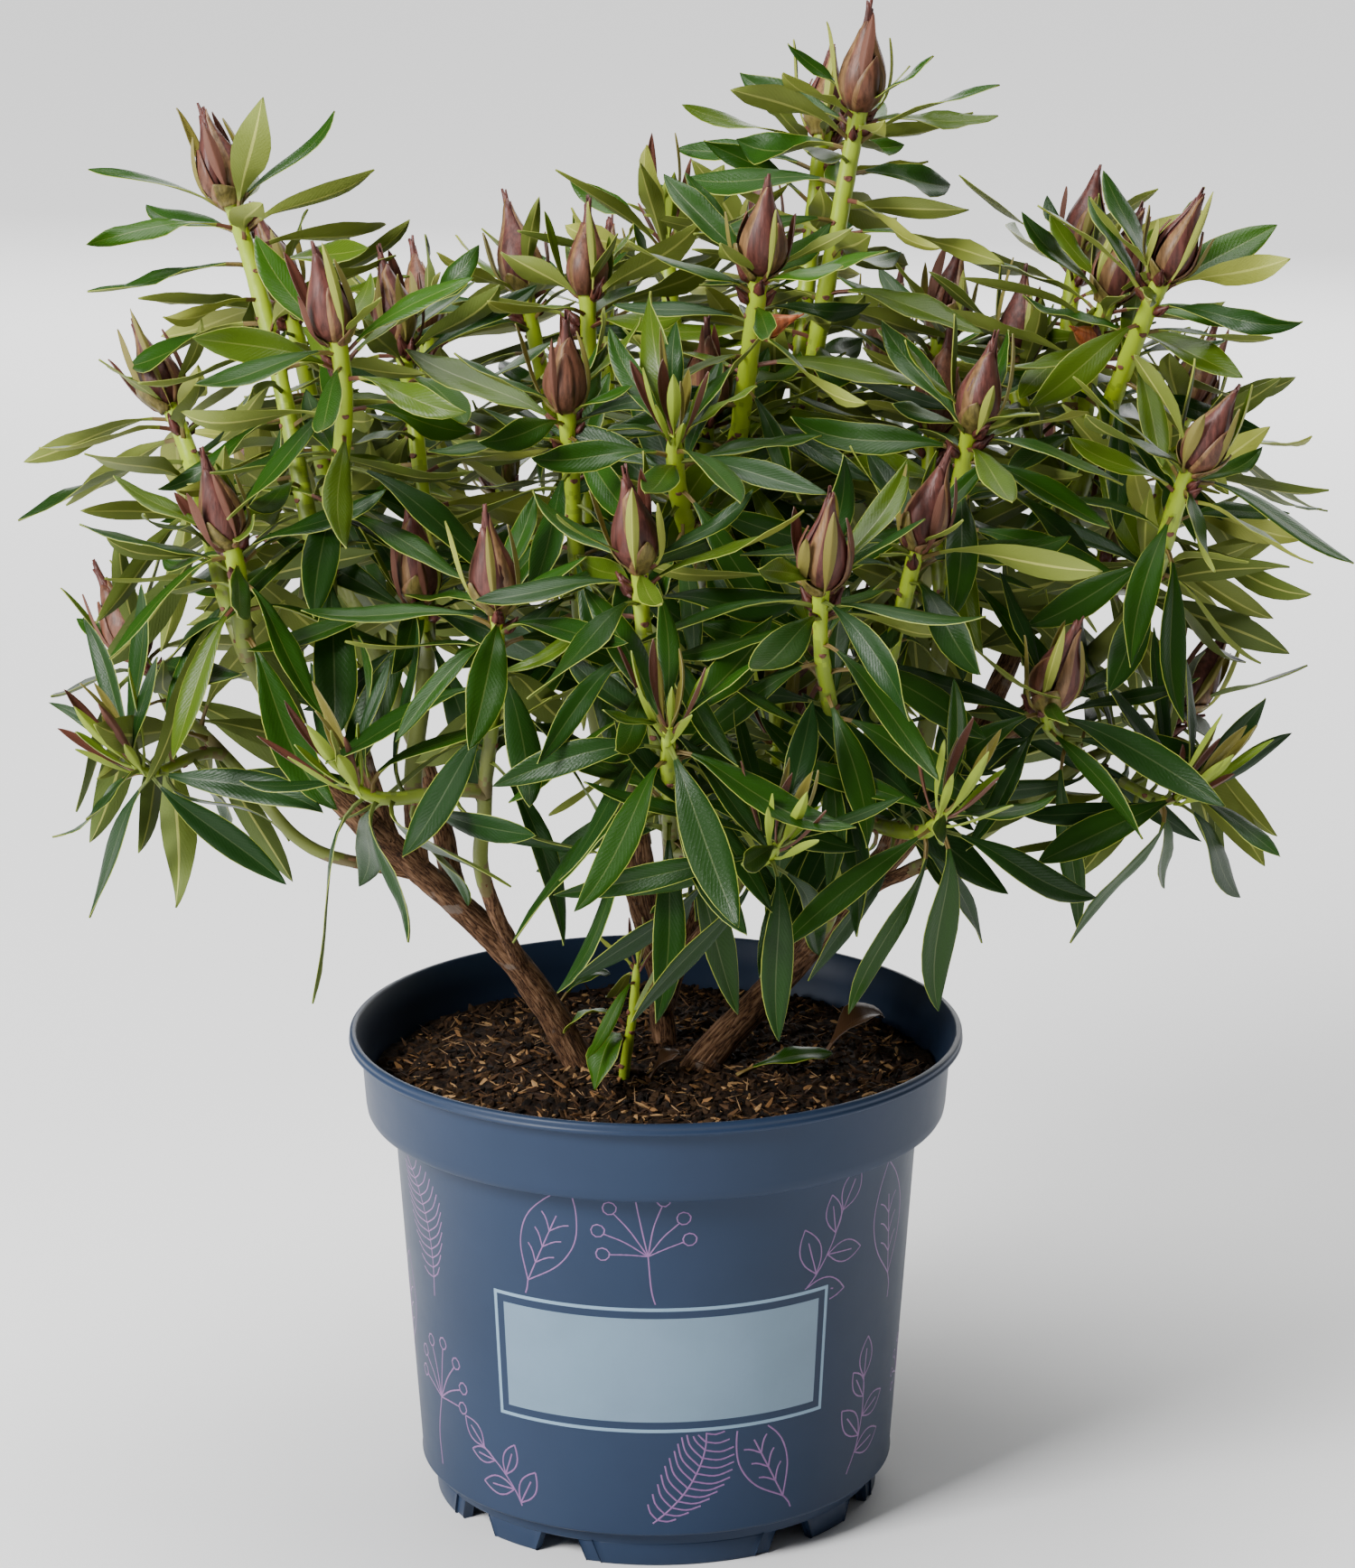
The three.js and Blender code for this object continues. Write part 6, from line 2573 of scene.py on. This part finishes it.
@dataclass
class Studio:
    """A pale floor, soft lamps that face the plant, and the camera."""

    lens: float = 111.67
    distance: float = 1.8
    elevation: float = 15.4
    aim: Triple = (0.0081, 0.0, 0.2757)
    half_floor: float = 12.0
    world_light: float = 0.13
    lit: Triple = (0.0, 0.0, 0.3)  # the point that the lamps face

    def floor(self) -> None:
        """Lays the floor, which glows a little far from the plant."""
        surface = Surface("studio_floor", (0.86, 0.86, 0.86), 0.95)
        x, y, _ = surface.place().split()
        reach = surface.math("SQRT", x * x + y * y)
        glow = surface.get("ShaderNodeMapRange", {"Value": reach, 1: 0.5, 2: 2.6, 4: 1.15})
        surface.set("Emission Color", (1.0, 1.0, 1.0, 1.0))
        surface.set("Emission Strength", glow)
        half = self.half_floor
        corners = [(-half, -half, 0), (half, -half, 0), (half, half, 0), (-half, half, 0)]
        floor = placed("studio_floor", mesh_of("studio_floor", corners, [(0, 1, 2, 3)]))
        floor.data.materials.append(surface.material)

    def light(self) -> None:
        """Sets the lamps and the even light of the room."""
        for name, (place, width, height, power) in LAMPS.items():
            data = bpy.data.lights.new(name, "AREA")
            data.shape = "RECTANGLE"
            data.size, data.size_y, data.energy = width, height, power
            lamp = placed(name, data)
            lamp.location = place
            way = Vector(self.lit) - Vector(place)
            lamp.rotation_euler = way.to_track_quat("-Z", "Y").to_euler()
        world = bpy.data.worlds.new("studio")
        world.use_nodes = True
        inputs = world.node_tree.nodes["Background"].inputs
        inputs["Color"].default_value = (1.0, 1.0, 1.0, 1.0)
        inputs["Strength"].default_value = self.world_light
        bpy.context.scene.world = world

    def camera(self) -> None:
        """Sets the camera that looks at the plant from the front and a little above."""
        data = bpy.data.cameras.new("camera")
        data.lens, data.clip_start, data.clip_end = self.lens, 0.05, 40.0
        camera = bpy.context.scene.camera = placed("camera", data)
        angle = radians(self.elevation)
        back = Vector((0, -cos(angle), sin(angle)))
        camera.location = Vector(self.aim) + back * self.distance
        camera.rotation_euler = (math.pi / 2 - angle, 0, 0)

    def build(self) -> None:
        """Builds the floor, the lamps and the camera."""
        self.floor()
        self.light()
        self.camera()


# ---- assembly


class Part(Enum):
    """The three parts of the crown whose leaves are joined."""

    LEFT = ("leaves_left", "leaves_young")
    CENTRE = ("leaves_centre", "leaves_back")
    RIGHT = ("leaves_right",)


def build_crown() -> None:
    """Builds the wood and everything that grows on it."""
    wood = Wood()
    wood.build()
    crown = Crown(wood)
    Shoots(crown).build()
    maker = BladeMaker()
    leaves = crown.leaves()
    LOG.info("leaves: %d", sum(len(blades) for blades in leaves.values()))
    for part in Part:
        names = [name for name in leaves if name.startswith(part.value)]
        blades = [blade for name in names for blade in leaves[name]]
        maker.grow(f"foliage_{part.name.lower()}", blades, nodes=names)
    maker.grow("fallen_leaves", fallen_blades())
    Buds(crown, maker).build()
    drop(maker.shape)


def main() -> None:
    """Builds the potted plant, its print, its compost and the studio."""
    logging.basicConfig(level=logging.INFO, format="%(name)s: %(message)s")
    Pot().build()
    PotPrint().build()
    Soil().build()
    build_crown()
    Studio().build()


if __name__ == "__main__":
    main()
